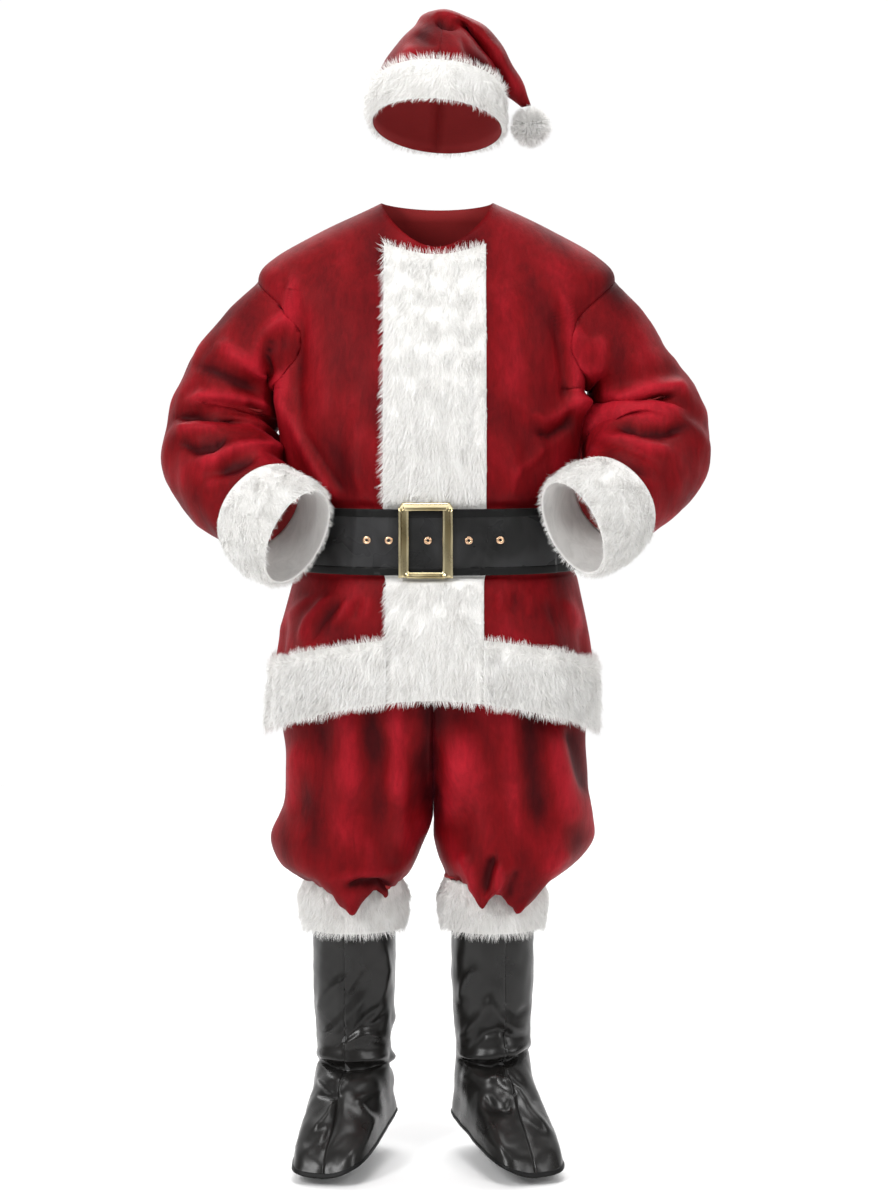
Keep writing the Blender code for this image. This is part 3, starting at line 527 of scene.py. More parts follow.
# Creases of the sleeves, which gather at the bent elbows
SLEEVE_FOLDS = creases("""
3 -2.7 .5  247,290 256,294 266,303 276,316
5 -5.1 .2  278,300 283,330 284,356
4 -7.6 .5  272,330 268,356 272,378 280,392
6 4.4 .1  260,332 257,360 262,384
8 6.8 .1  215,340 232,352 250,366 268,380
7 -5.8 .2  190,362 215,372 240,384 262,392
8 8.5 .1  180,404 202,396 228,396 256,404 278,418
3.5 -6.8 .5  243,402 254,408 268,418
4 -8.5 .5  170,418 196,416 224,419 246,424
6 5.8 .1  172,430 196,428 222,430
5 -7.8 .3  176,440 196,450 214,448 230,434
7 7.8 .1  190,462 216,460 240,448 270,446 292,452
5 -5.1 .3  214,474 240,466 262,454
6 3.7 .1  200,486 222,482 244,478
6 -3.7 .2  598,318 588,330 580,350
3 -2.7 .5  606,270 604,292 600,310
8 5.1 .1  600,330 604,356 596,380
8 9.2 .1  598,392 622,396 650,388 676,386 694,400
4 -8.8 .5  632,408 652,400 676,394
7 7.8 .1  606,420 636,412 664,408 690,416
6 -7.8 .2  611,424 640,432 668,432 690,424
7 6.8 .1  596,440 622,440 650,448 676,452
5 -7.5 .3  596,452 622,462 650,478
6 4.4 .1  590,446 616,472 640,492
5 -4.4 .3  600,470 622,486 636,508""")

TROUSER_CREASES = creases("""
13 -6 0  370,660 373,760 378,830 392,880
10 6 0  394,660 398,770 404,860
16 5 0  346,660 348,780 342,870
12 -3 0  318,670 320,780 310,860
12 -6 0  430,640 431,750 434,830
8 5.6 .1  296,738 294,780 288,820
6 3.6 .2  330,880 350,876 378,874 404,870
5 -13 .3  342,889 362,883 380,884 398,893
5 -2.8 .2  276,868 296,878 322,886
16 6.3 0  470,712 458,770 450,830
10 4.6 0  510,660 511,770 520,860
13 -5.6 0  530,650 533,756 542,850
14 7 0  548,722 566,780 580,840
8 -7 .1  566,722 580,770 588,800
7 6.2 .1  460,852 472,874 476,896
5 -3 .2  454,874 462,886 468,896
6 -11 .3  494,852 487,876 482,898
7 5.6 .1  500,862 498,886 500,904
5 -4.2 .2  520,868 510,886 506,902
8 3.1 .1  540,876 552,868 572,850""")

CROTCH_Z = -0.950

TROUSER_BACK_CREASES = creases("""
14 5.9 0  310,712 318,780 330,850
12 -5.2 0  345,712 350,780 356,860
14 5.2 0  380,730 384,800 380,870
14 5.2 0  470,720 474,790 484,870
12 -5.2 0  510,712 512,790 506,860
14 5.7 0  555,730 552,800 540,866""")

HAT_CREASES = creases("""
5 4.5 0  476,28 494,48 510,76 521,104
3.5 -9.5 .3  434,19 441,23 450,26 460,27
4 3.5 0  430,14 444,14 460,19
6 3.2 0  404,44 418,56 440,60
5 -3 .2  412,30 424,40 440,46
4 -4.5 .2  460,34 467,50 484,66 500,92""")

BOOT_WRINKLES = creases("""
6 6.5 0  311,1049 328,1056 346,1060 368,1059 394,1052
3 -10 .5  311,1056 328,1064 346,1068 368,1067 394,1061
9 3.6 0  314,1076 338,1084 368,1084 388,1078
6 4.6 .2  316,1040 334,1030 352,1012 368,990
4 -4.2 .3  330,1050 350,1036 366,1018 384,1004
5 4.2 .2  386,1040 368,1034 350,1040 338,1048
4 -3.6 .3  390,1010 376,1024 360,1030
5 3 .2  316,1016 322,1000 336,986 350,976
4 -2.2 .3  340,1000 352,984 366,962
5 2.6 .2  382,1000 388,970 384,940
3 4 .4  318,1078 328,1090 336,1096
3 4.2 .4  352,1072 342,1084 336,1098
3 -3.4 .4  316,1096 326,1094 340,1100
4 4.4 .3  336,1098 328,1114 312,1132
4 -3.2 .3  340,1098 334,1120 322,1150
5 3.4 .2  388,1086 372,1096 358,1102 372,1120 362,1150
4 -3 .3  378,1092 366,1104 376,1116
6 6.5 0  450,1049 470,1056 490,1057 512,1052 534,1038
3 -10 .5  450,1056 470,1063 490,1065 512,1060 534,1046
7 3 0  458,1074 480,1080 500,1076
6 4.4 .2  456,1040 470,1030 484,1014 494,992
4 -4 .3  470,1048 484,1034 500,1030 514,1040
5 4.2 .2  530,1030 512,1028 498,1016 490,998
4 -3.4 .3  530,1006 518,1014 504,1004
5 2.6 .2  458,1004 464,984 476,966
5 7 .2  494,1068 504,1080 518,1092 530,1112 556,1140
5 -4.2 .2  508,1070 524,1084 540,1108
5 -4.2 .2  484,1094 494,1108 508,1110 512,1098
6 3.4 .1  480,1086 482,1110 494,1134 506,1160""")

# Bends of the belt: angle in degrees, lean over its width, half width, height in mm
BELT_BENDS = [(-31, 3, 1.6, 2.6), (-24, -3, 1.3, -1.6), (-18, 2, 1.1, 1.3), (-13, -1, 1.0, -0.8),
              (10, 2, 1.1, 1.3), (15, -2, 1.2, -1.5), (20, 3, 1.3, 1.9), (28, -2, 1.5, -1.2),
              (60, 0, 3, 1.6), (-58, 0, 3, 1.6), (110, 1, 3, 1.8), (170, -1, 4, 1.6),
              (235, 1, 3, 1.6)]

# Sections: distance across from the outer edge as a share, height as a share
BUCKLE_SECTION = [(0.0, 0.0), (0.0, 0.45), (0.03, 0.62), (0.08, 0.68), (0.13, 0.62),
                  (0.17, 0.56), (0.26, 0.74), (0.38, 0.92), (0.5, 1.0), (0.62, 0.92),
                  (0.74, 0.74), (0.83, 0.56), (0.87, 0.62), (0.92, 0.68), (0.97, 0.62),
                  (1.0, 0.45), (1.0, 0.0)]
EYELET_SECTION = [(1.0, 0.0), (0.97, 0.45), (0.86, 0.85), (0.72, 1.0), (0.58, 0.92),
                  (0.47, 0.6), (0.42, 0.15), (0.38, 0.06), (0.0, 0.05)]

QUARTER = math.pi / 2


def at(table, level):
    """A table's row at levels of its first column, on a smooth curve through its rows."""
    data = np.array(table, float)
    keys = data[:, 0]
    level = np.asarray(level, float)
    index = np.clip(np.searchsorted(keys, level) - 1, 0, len(keys) - 2)
    before = np.maximum(index - 1, 0)
    after = np.minimum(index + 2, len(keys) - 1)
    span = keys[index + 1] - keys[index]
    t = ((level - keys[index]) / span)[..., None]
    low = data[index]
    high = data[index + 1]
    start = (high - data[before]) * (span / (keys[index + 1] - keys[before]))[..., None]
    end = (data[after] - low) * (span / (keys[after] - keys[index]))[..., None]
    bend = 2 * (low - high) + start + end
    made = low + t * (start + t * (3 * (high - low) - 2 * start - end + t * bend))
    return type(table[0])(*np.moveaxis(made, -1, 0))


def level_at(table, column, value):
    """The level at which a column of a table has a value."""
    levels = np.linspace(table[0].level, table[-1].level, 4001)
    values = getattr(at(table, levels), column)
    if values[-1] < values[0]:
        return float(np.interp(-value, -values, levels))
    return float(np.interp(value, values, levels))


def smooth(t):
    """0 to 1 with level ends."""
    t = np.clip(t, 0.0, 1.0)
    return t * t * (3 - 2 * t)


def wrapped(angle):
    """An angle in degrees, from -180 to 180."""
    return (angle + 180.0) % 360.0 - 180.0


def fold_height(folds, degrees, z):
    """How far folds push a surface out at an angle and a height."""
    total = 0.0
    for fold in folds:
        t = np.clip((z - fold.low_z) / (fold.high_z - fold.low_z), 0.0, 1.0)
        middle = fold.low_angle + t * (fold.high_angle - fold.low_angle)
        off = wrapped(degrees - middle) / fold.spread
        total = total + fold.height * np.sin(math.pi * t) ** 2 * np.exp(-off * off)
    return total


def at_belt(level):
    """1 under the belt, 0 clear of it."""
    return smooth((level - 2.55) / 0.4) * smooth((4.45 - level) / 0.4)


def jacket(angle, level):
    """The jacket's outer face. Angle 0 is the middle of the front, 90 degrees the left side."""
    row = at(JACKET, level)
    side = np.sin(angle)
    front = np.cos(angle)
    depth = np.where(front > 0, row.front, row.back)
    centre_z = np.where(front > 0, row.z_front, row.z_back)
    z = row.z_side + (centre_z - row.z_side) * front * front
    square = 1 + SQUARENESS * np.sin(2 * angle) ** 2
    fold = fold_height(JACKET_FOLDS, np.degrees(angle), z) * (1 - at_belt(level))
    return np.stack([row.shift + side * (row.width * square + fold),
                     -front * (depth * square + fold), z], -1)


def jacket_angle(x, level):
    """The angle at which the jacket's front has an x."""
    x, level = np.broadcast_arrays(np.asarray(x, float), np.asarray(level, float))
    low = np.full(x.shape, -QUARTER)
    high = np.full(x.shape, QUARTER)
    for _ in range(30):
        middle = (low + high) / 2
        below = jacket(middle, level)[..., 0] < x
        low = np.where(below, middle, low)
        high = np.where(below, high, middle)
    return (low + high) / 2


def unit(vector):
    return vector / np.maximum(np.linalg.norm(vector, axis=-1, keepdims=True), 1e-12)


def normal(surface, u, v, facing=1):
    """Unit normal of a surface; facing 1 or -1 picks the side."""
    along_u = surface(u + STEP, v) - surface(u - STEP, v)
    along_v = surface(u, v + STEP) - surface(u, v - STEP)
    return unit(np.cross(along_u, along_v)) * facing


ARMPIT = level_at(JACKET, "z_side", ARMPIT_Z)
SHOULDER = level_at(JACKET, "z_side", ARMHOLE_TOP_Z)
ARMHOLE_MIDDLE = (ARMPIT + SHOULDER) / 2
ARMHOLE_HALF = (SHOULDER - ARMPIT) / 2
BELT_LOW = level_at(JACKET, "z_side", BELT_BOTTOM)
BELT_HIGH = level_at(JACKET, "z_side", BELT_TOP)


def armhole_gap(level):
    """Angle from the side line to the armhole's edge at a level."""
    off = (level - ARMHOLE_MIDDLE) / ARMHOLE_HALF
    return ARMHOLE_REACH * np.sqrt(np.maximum(1 - off * off, 0.0))


def armhole_point(side, turn):
    """A place on the sleeve's own first ring, just inside the armhole."""
    shrink = 1 - SEWN / (0.5 * (ARMHOLE_TOP_Z - ARMPIT_Z))
    angle = side * (QUARTER - ARMHOLE_REACH * shrink * np.sin(turn))
    return angle, ARMHOLE_MIDDLE + ARMHOLE_HALF * shrink * np.cos(turn)


def arm_ring(side, turn, level):
    """A place on the arm's rings beyond the armhole. Turn 0 is the outer side and a
    quarter turn the front."""
    table = ARMS[side]
    row = at(table, level)
    ahead = at(table, np.minimum(level + 0.1, CUFF_END))
    behind = at(table, np.maximum(level - 0.1, 0.0))
    way = unit(np.stack([side * (ahead.x - behind.x), ahead.y - behind.y,
                         ahead.z - behind.z], -1))
    front = np.array([0.0, -1.0, 0.0])
    front = unit(front - way * (way @ front)[..., None])
    across = np.cross(front, way) * side
    crease = 0.0
    for fold in SLEEVE_GATHERS:
        off = (level - fold.level) / fold.levels
        around = wrapped(np.degrees(turn) - fold.angle) / fold.degrees
        crease = crease + fold.height * np.exp(-off * off - around * around)
    cosine = np.cos(turn)[..., None]
    sine = np.sin(turn)[..., None]
    middle = np.stack([side * row.x, row.y, row.z], -1)
    return (middle + (across * cosine + front * sine) * np.asarray(crease)[..., None]
            + across * row.across[..., None] * cosine + front * row.deep[..., None] * sine)


def arm(side):
    """The surface of one arm: levels -1 to 0 leave the armhole, 0 to 6 are its rings."""
    leave = np.array([side * 0.8, 0.0, -0.6]) * ARMHOLE_PULL

    def surface(turn, level):
        turn, level = np.broadcast_arrays(np.asarray(turn, float), np.asarray(level, float))
        start = jacket(*armhole_point(side, turn))
        end = arm_ring(side, turn, np.zeros(level.shape))
        arrive = (arm_ring(side, turn, np.full(level.shape, 0.05)) - end) / 0.05 * 1.3
        t = np.minimum(level, 0.0)[..., None] + 1
        bend = 2 * (start - end) + leave + arrive
        shoulder = start + t * (leave + t * (3 * (end - start) - 2 * leave - arrive + t * bend))
        rings = arm_ring(side, turn, np.maximum(level, 0.0))
        return np.where(level[..., None] < 0, shoulder, rings)
    return surface


def droop(side, turn):
    """How far down a leg's edge hangs round its front, as a share of the droop."""
    low = 0.0
    for middle, spread, share in TIPS[side]:
        low = np.maximum(low, share * np.exp(-(wrapped(np.degrees(turn) - middle) / spread) ** 2))
    return low


def leg(side):
    """The surface of one trouser leg. Turn 0 is its outer side, a quarter turn its front."""
    table = LEG_LEFT if side > 0 else LEG_RIGHT

    def surface(turn, level):
        row = at(table, level)
        front = np.sin(turn)
        depth = np.where(front > 0, row.front, row.back)
        z = row.z - row.droop * droop(side, turn)
        fold = fold_height(LEG_FOLDS, np.degrees(turn), z) * np.abs(front)
        x = (row.outer + row.inner) / 2 + (row.outer - row.inner) / 2 * np.cos(turn)
        return np.stack([MIDDLE_SEAM_X + side * x, row.y - front * (depth + fold), z], -1)
    return surface


def leg_reach(side, level):
    """The turn at which a leg's panels end: at the middle seam, or on the inner leg."""
    row = at(LEG_LEFT if side > 0 else LEG_RIGHT, level)
    middle = (row.outer + row.inner) / 2
    half = (row.outer - row.inner) / 2
    return np.arccos(np.maximum((SEAM / 2 - middle) / half, -1.0))


def leg_cuff(side):
    """The fur ring under the gathered leg."""
    centre = np.array([LEG_CUFF_CENTRE[side], LEG_CUFF_Y, 0.0])

    def surface(turn, level):
        row = at(LEG_CUFF, level)
        front = np.sin(turn)
        low = CUFF_DROOP * (1 - level / 2) * droop(side, turn)
        return centre + np.stack([side * np.cos(turn) * row.radius, -front * row.radius,
                                  row.z - low], -1)
    return surface


def boot(side):
    """The surface of one boot cover. Turn 0 is the toe, a quarter turn the outer side."""
    out = TOE_OUT[side] * side
    forward = np.array([math.sin(out), -math.cos(out), 0.0])
    sideways = np.array([math.cos(out), math.sin(out), 0.0]) * side
    ankle = np.array([LEG_CUFF_CENTRE[side], LEG_CUFF_Y, 0.0])
    up = np.array([0.0, 0.0, 1.0])

    def surface(turn, level):
        row = at(BOOT, level)
        ahead = np.cos(turn)
        reach = np.where(ahead > 0, row.front, row.back)
        z = (row.z_front + row.z_back) / 2 + (row.z_front - row.z_back) / 2 * ahead
        z = z + INNER_RISE * np.maximum(-np.sin(turn), 0.0) ** 2 * smooth((level - 6) / 3)
        toe = smooth((row.front - 0.09) / 0.1)
        power = 2 + TOE_SQUARE * toe * (ahead > 0)
        blunt = (np.abs(ahead) ** power + np.abs(np.sin(turn)) ** power) ** (-1 / power)
        crease = fold_height(BOOT_CREASES, np.degrees(turn), z)
        return (ankle + forward * (ahead * (reach * blunt + crease))[..., None]
                + sideways * (np.sin(turn) * (row.half * blunt + crease))[..., None]
                + up * z[..., None])
    return surface


def hat(turn, level):
    """The hat's surface. Turn 0 is the outer end of a ring, a quarter turn its front."""
    row = at(HAT, level)
    zero = np.zeros(np.shape(row.x_out))
    outer = np.stack([row.x_out, zero, row.z_out], -1)
    inside = np.stack([row.x_in, zero, row.z_in], -1)
    front = np.stack([zero, -row.depth, row.rise], -1)
    return ((outer + inside) / 2 + (outer - inside) / 2 * np.cos(turn)[..., None]
            + front * np.sin(turn)[..., None])


def lining_height(height, thickness, closed):
    """Height of a wall's back. It has fewer points than the face, so away from the
    panel's edges it keeps clear of the deepest crease nearby."""
    low = height
    for axis, mode in ((0, "edge"), (1, "wrap" if closed else "edge")):
        room = [(0, 0), (0, 0)]
        room[axis] = (FINE, FINE)
        wide = np.pad(low, room, mode=mode)
        count = low.shape[axis]
        low = np.min([np.take(wide, range(i, i + count), axis=axis)
                      for i in range(2 * FINE + 1)], axis=0)
    low = low - LINING_CLEAR
    low[[0, -1]] = height[[0, -1]]
    if not closed:
        low[:, [0, -1]] = height[:, [0, -1]]
    return low - thickness


def cloth(name, surface, u, v, thickness, looks, push, facing=1, closed=False, sink=True):
    """A panel of cloth. u and v are grids of places; push gives the height of its folds."""
    base = surface(u, v)
    away = normal(surface, u, v, facing)
    height = push(u, v, base)
    if sink:
        height = height - seam_sink(base, closed)
    face = lifted(base, away, height)
    back = lifted(base, away, lining_height(height, thickness, closed))
    made = wall(name, face, back, looks, closed, facing < 0, pile_and_crease_shade=crease_shade_and_pile_of(height, base))
    keep_cut(base, closed)
    return made


def crease_shade_and_pile_of(height, base):
    """Painted shade and highlight for the velvet's colour: the further folds and creases push the
    cloth out, the more painted highlight, and the deeper a trough or seam sinks it, the more
    painted shade, with random patches of the pile on top.
    """
    return np.clip(0.48 + height * 40 + 0.10 * waves(base, 0.09, 15), 0.0, 1.0)


def fur_base(surface, u, v, bottom, top, facing=1, push=None):
    """Points and directions of a fur band's skin, and points of its lower face."""
    base = surface(u, v)
    away = normal(surface, u, v, facing)
    extra = push(u, v, base) if push is not None else np.zeros(u.shape)
    low = lifted(base, away, bottom + extra)
    high = lifted(base, away, top + extra)
    return low, high, away


STRAND_WIDTH = 0.00064
RAGGED = 0.35           # how much the strands' directions differ


def strands(name, skin, away, fall, fur, closed=False, stand=0.55, keep=None, tuft=0.010):
    """Fur on a grid of skin points: bent strands that fall one way in soft tufts.
    fall is a direction or a grid of them; keep gives each root's share of the length."""
    count, length, seed = fur
    chance = np.random.default_rng(seed)
    rows, columns = skin.shape[:2]
    quads = grid_quads(rows, columns, closed)
    flat = skin.reshape(-1, 3)
    a, b, c, d = (flat[quads[:, i]] for i in range(4))
    area = (np.linalg.norm(np.cross(b - a, c - a), axis=1)
            + np.linalg.norm(np.cross(c - a, d - a), axis=1)) / 2
    chosen = chance.choice(len(quads), size=count, p=area / area.sum())
    s = chance.random((count, 1))
    t = chance.random((count, 1))

    def mixed(values):
        at_corner = values.reshape(len(flat), -1)[quads[chosen]]
        return ((at_corner[:, 0] * (1 - s) + at_corner[:, 1] * s) * (1 - t)
                + (at_corner[:, 3] * (1 - s) + at_corner[:, 2] * s) * t)

    root = mixed(skin)
    out = unit(mixed(away))
    down = mixed(np.broadcast_to(fall, skin.shape))
    long = length * chance.uniform(0.65, 1.1, count)
    if keep is not None:
        share = mixed(keep)[:, 0]
        long = long * share
        wanted = share > 0.15
        root, out, down, long = root[wanted], out[wanted], down[wanted], long[wanted]
        count = len(root)
    drift = np.stack([waves(root, 0.035, seed + i) for i in range(3)], -1)
    way = unit(out * stand + down + drift * 0.28 + chance.normal(size=(count, 3)) * RAGGED * 0.6)
    middle = root + way * (long * 0.5)[:, None]
    tip_way = unit(way + down * 0.45 - out * 0.18 + chance.normal(size=(count, 3)) * RAGGED * 0.4)
    tip = middle + tip_way * (long * 0.55)[:, None]
    cell = np.floor(root / tuft + 0.35 * np.sin(root * 311.0))
    heart = (cell + 0.5) * tuft
    pull = heart - root
    pull -= out * (pull * out).sum(1, keepdims=True)
    tip = tip + pull * 0.45
    middle = middle + pull * 0.12
    across = unit(np.cross(way, out + chance.normal(size=(count, 3)) * 0.7))
    root = root - out * 0.0006
    half = STRAND_WIDTH / 2
    points = np.stack([root - across * half, root + across * half,
                       middle - across * half * 0.85, middle + across * half * 0.85, tip], 1)
    first = np.arange(count)[:, None] * 5
    quads = first + np.array([[0, 1, 3, 2]])
    triangles = first + np.array([[2, 3, 4]])
    return add_mesh(name, points.reshape(-1, 3), quads, triangles, [LOOKS["fur"]])


# Strands of each band: how many, their length in metres, and the seed of their chance
Fur = namedtuple("Fur", "count length seed")
FRONT_FUR = Fur(36000, 0.0145, 11)
HEM_FURS = {"back": Fur(26000, 0.0150, 141), "left": Fur(14500, 0.0150, 77),
            "right": Fur(14500, 0.0150, 77)}
CUFF_FURS = {1: Fur(17500, 0.0125, 52), -1: Fur(17500, 0.0125, 50)}
LEG_CUFF_FURS = {1: Fur(13000, 0.0150, 62), -1: Fur(13000, 0.0150, 60)}
HAT_FUR = Fur(14000, 0.0120, 73)
POMPOM_STRANDS = 9000


def fur_piece(node, low, high, away, fall, fur, closed=False, facing=1, rests_on=(), **style):
    """A fur band: its skin as a closed wall, and its strands. rests_on is not used."""
    skin = wall(node + "_skin", high, low, [LOOKS["fur_skin"]], closed, facing < 0, 1)
    settle(skin, "fur", node)
    pile = strands(node + "_pile", high, away, fall, fur, closed, **style)
    settle(pile, "fur", node)
    keep_cut(low, closed)
    return [skin, pile]


FULL_SIDE = (0.235, -0.288)     # x and z where the jacket's side fills the gap to the sleeve


def jacket_push(u, v, base):
    """Drape of the jacket that its solid doesn't have."""
    free = 1 - at_belt(v)
    side_line = (np.abs(wrapped(np.degrees(u))) - 90) / 28
    slope = 0.006 * np.exp(-side_line ** 2 - ((v - SHOULDER) / 0.55) ** 2)
    below = smooth((ARMPIT_Z - 0.004 - base[..., 2]) / 0.016)
    beside = (((base[..., 2] - FULL_SIDE[1]) / 0.024) ** 2
              + ((base[..., 0] - FULL_SIDE[0]) / 0.03) ** 2)
    return waves(base, 0.16, 5) * 0.0012 * free - slope + 0.015 * below * np.exp(-beside)


def shift_of(u, v, base):
    return jacket_push(u, v, base) + 1.2 * all_round(JACKET_CREASES, base, np.cos(u))


def jacket_grid(kind):
    """Angles and levels of a jacket panel's fine grid."""
    levels = jacket_rows()
    seam = SEWN / 2 / JACKET[6].width
    gap = armhole_gap(levels)
    if kind == "back":
        start = QUARTER + gap + seam
        end = 4 * QUARTER - start
        columns = cells(0.72, 0.0055)
    else:
        middle = jacket_angle(FRONT_BAND_X, levels)
        if kind == "left":
            start = middle + seam
            end = QUARTER - gap - seam
        else:
            start = -(QUARTER - gap - seam)
            end = middle - seam
        columns = cells(0.36, 0.0055)
    t = np.linspace(0, 1, columns + 1)[None, :]
    return start[:, None] * (1 - t) + end[:, None] * t, np.broadcast_to(
        levels[:, None], (len(levels), columns + 1))


def jacket_rows():
    """Levels of the jacket's rows, about 5 mm apart, with rows at the armhole's ends."""
    parts = []
    for start, end in ((0.0, ARMPIT), (ARMPIT, SHOULDER), (SHOULDER, 12.0)):
        rise = float(at(JACKET, end).z_side - at(JACKET, start).z_side)
        count = cells(rise * 1.1, 0.0055)
        t = np.linspace(0, 1, count + 1)
        if start == ARMPIT:
            t = 0.5 - 0.5 * np.cos(math.pi * t)
        parts.append(start + (end - start) * t[(0 if start == 0.0 else 1):])
    return np.concatenate(parts)


def make_jacket():
    for kind, node in (("left", "jacket_front_left"), ("right", "jacket_front_right"),
                       ("back", "jacket_back")):
        u, v = jacket_grid(kind)
        made = cloth(node + "_velvet", jacket, u, v, CLOTH, VELVET_WALL, shift_of)
        settle(made, "velvet", node)


# The left sleeve rests against the jacket below the armpit, the right one hangs clear
INNER_FULLNESS = {1: 0.036, -1: 0.004}


def sleeve_push(side):
    def push(u, v, base):
        place = armhole_point(side, u)
        hem = shift_of(*place, jacket(*place))
        t = smooth((v + 1) / 0.55)
        near_cuff = smooth((SLEEVE_END - v) / 0.4)
        own = 1.45 * all_round(SLEEVE_FOLDS, base, -normal(arm(side), u, v, side)[..., 1])
        own = own + waves(base, 0.07, 31 + side) * 0.0016 + waves(base, 0.03, 41) * 0.0004
        around = wrapped(np.degrees(u) - 180) / 60
        own = own + INNER_FULLNESS[side] * np.exp(-around ** 2 - ((v - 1.5) / 1.0) ** 2)
        return hem * (1 - t) + own * t * (0.25 + 0.75 * near_cuff)
    return push


def make_sleeve(side, word):
    surface = arm(side)
    columns = cells(0.53, 0.0048)
    rows = cells(0.40, 0.0048)
    turns = ring(columns)
    levels = np.linspace(-1.0, SLEEVE_END - 0.004, rows + 1)
    u, v = np.meshgrid(turns, levels)
    node = "sleeve_" + word
    base = surface(u, v)
    away = normal(surface, u, v, side)
    start = armhole_point(side, turns)
    away[0] = normal(jacket, *start)
    away[1:6] = unit(away[1:6] + away[0] * np.linspace(0.8, 0.0, 5)[:, None, None])
    height = sleeve_push(side)(u, v, base)
    made = wall(node + "_velvet", lifted(base, away, height),
                lifted(base, away, lining_height(height, CLOTH, True)), VELVET_WALL,
                True, side < 0, pile_and_crease_shade=crease_shade_and_pile_of(height, base))
    keep_cut(base, True)
    settle(made, "velvet", node)


def dome(t, edge, top):
    """Height of a fur band across its width, t from 0 to 1."""
    return edge + (top - edge) * np.sin(math.pi * np.clip(t, 0.0, 1.0)) ** 0.6


DOWN = np.array([0.0, 0.0, -1.0])


def front_band_half(level):
    """Half width of the front band, narrower below the belt."""
    return FRONT_BAND_HALF - 0.004 * smooth((4 - level) / 2)


def at_buckle(level):
    """1 where the belt presses the fur, 0 clear of it."""
    return smooth((level - 2.15) / 0.4) * smooth((5.0 - level) / 0.45)


def make_front_band():
    rows = 150
    columns = 26
    levels = np.linspace(0.0, FRONT_BAND_TOP - 0.02, rows + 1)
    across = np.linspace(-1, 1, columns + 1)
    v = np.broadcast_to(levels[:, None], (rows + 1, columns + 1))
    u = jacket_angle(FRONT_BAND_X + front_band_half(v) * across[None, :], v)
    t = np.broadcast_to((across[None, :] + 1) / 2, v.shape)
    full = dome(t, 0.0018, 0.0062)
    end = 0.0018 + (full - 0.0018) * smooth(0.3 + v / 0.3)
    pressed = at_buckle(v)
    top = end + (0.0024 - end) * pressed
    low, high, away = fur_base(jacket, u, v, SEAM, top, push=shift_of)
    z = high[..., 2]
    clear = np.maximum(BELT_BOTTOM - z, z - BELT_TOP)
    keep = smooth((clear + 0.001) / 0.022) * 0.85 + 0.15
    keep = np.where(clear < -0.004, 0.0, keep) * (1 - 0.45 * np.exp(-((t - 1) / 0.06) ** 2))
    crisp = (0.5 - t) * 0.5 * np.abs(2 * t - 1) ** 3 + 0.9 * smooth((t - 0.9) / 0.1) * (v < 0.95)
    lean = np.where(t > 0.5, crisp, -0.7 * np.exp(-(t / 0.09) ** 2)) - 0.08
    fall = np.stack([lean + 0.12 * waves(high, 0.12, 8), np.zeros(t.shape),
                     1.8 * smooth((v - FRONT_BAND_TOP + 0.5) / 0.4) - 1.0], -1)
    fur_piece("front_fur_band", low, high, away, fall, FRONT_FUR, keep=keep[..., None],
              rests_on=["jacket_front_left", "jacket_front_right"])


def make_hem_band():
    for kind, node in (("left", "hem_fur_left"), ("right", "hem_fur_right"),
                       ("back", "hem_fur_back")):
        rows = 22
        columns = 120 if kind == "back" else 56
        t = np.linspace(0, 1, rows + 1)
        v = np.broadcast_to((t * HEM_ROWS[-1])[:, None], (rows + 1, columns + 1))
        s = np.linspace(0, 1, columns + 1)[None, :]
        edge = SEWN / JACKET[0].width
        half = front_band_half(v[:, :1])
        if kind == "back":
            start = np.full(half.shape, QUARTER + SEAM)
            end = 4 * QUARTER - start
        elif kind == "left":
            start = jacket_angle(FRONT_BAND_X + half, v[:, :1]) + edge
            end = np.full(half.shape, QUARTER - SEAM)
        else:
            start = np.full(half.shape, SEAM - QUARTER)
            end = jacket_angle(FRONT_BAND_X - half, v[:, :1]) - edge
        u = start * (1 - s) + end * s
        t = np.broadcast_to(t[:, None], u.shape)
        low, high, away = fur_base(jacket, u, v, SEAM, dome(t, 0.0018, 0.0068), push=shift_of)
        side_way = 0.16 * waves(high, 0.11, 9) - 0.06
        fall = np.stack([side_way, 0 * t, 1.9 * smooth((t - 0.78) / 0.2) - 1.0], -1)
        keep = 1 - 0.25 * smooth((t - 0.8) / 0.2)
        fur_piece(node, low, high, away, fall, HEM_FURS[kind], keep=keep[..., None],
                  rests_on=["jacket_back" if kind == "back" else "jacket_front_" + kind])


def make_cuff(side, word):
    surface = arm(side)
    start = SLEEVE_END + 0.006
    rows = 26
    columns = 96
    t = np.linspace(0, 1, rows + 1)
    turns = ring(columns)
    u, v = np.meshgrid(turns, start + (CUFF_END - start) * t)
    t = np.broadcast_to(t[:, None], u.shape)
    pressed = 1 - CUFF_PRESS * np.maximum(-np.sin(u), 0.0)
    top = dome(t, 0.001, 0.0068) * pressed
    low, high, away = fur_base(surface, u, v, -0.002, top, side)
    hand = unit(surface(u, v + 0.01) - surface(u, v - 0.01))
    fall = hand * 0.75 + DOWN * 0.3
    keep = (0.45 + 0.55 * pressed) * (1 - 0.45 * smooth(1 - t / 0.12))
    fur_piece("cuff_" + word, low, high, away, fall, CUFF_FURS[side], True, side,
              rests_on=["sleeve_" + word], keep=keep[..., None])


def make_leg_cuff(side, word):
    surface = leg_cuff(side)
    rows = 18
    columns = 88
    levels = np.linspace(0.0, 2.0, rows + 1)
    turns = ring(columns)
    u, v = np.meshgrid(turns, levels)
    top = dome(0.12 + 0.78 * v / 2, 0.001, 0.011) * smooth(0.1 + v / 1.1)
    low, high, away = fur_base(surface, u, v, -0.0035, top, side)
    fall = DOWN + away * 0.1
    keep = 0.25 + 0.75 * smooth(v / 0.7)
    fur_piece("leg_cuff_" + word, low, high, away, fall, LEG_CUFF_FURS[side], True, side,
              rests_on=["trouser_%s_front" % word], keep=keep[..., None])


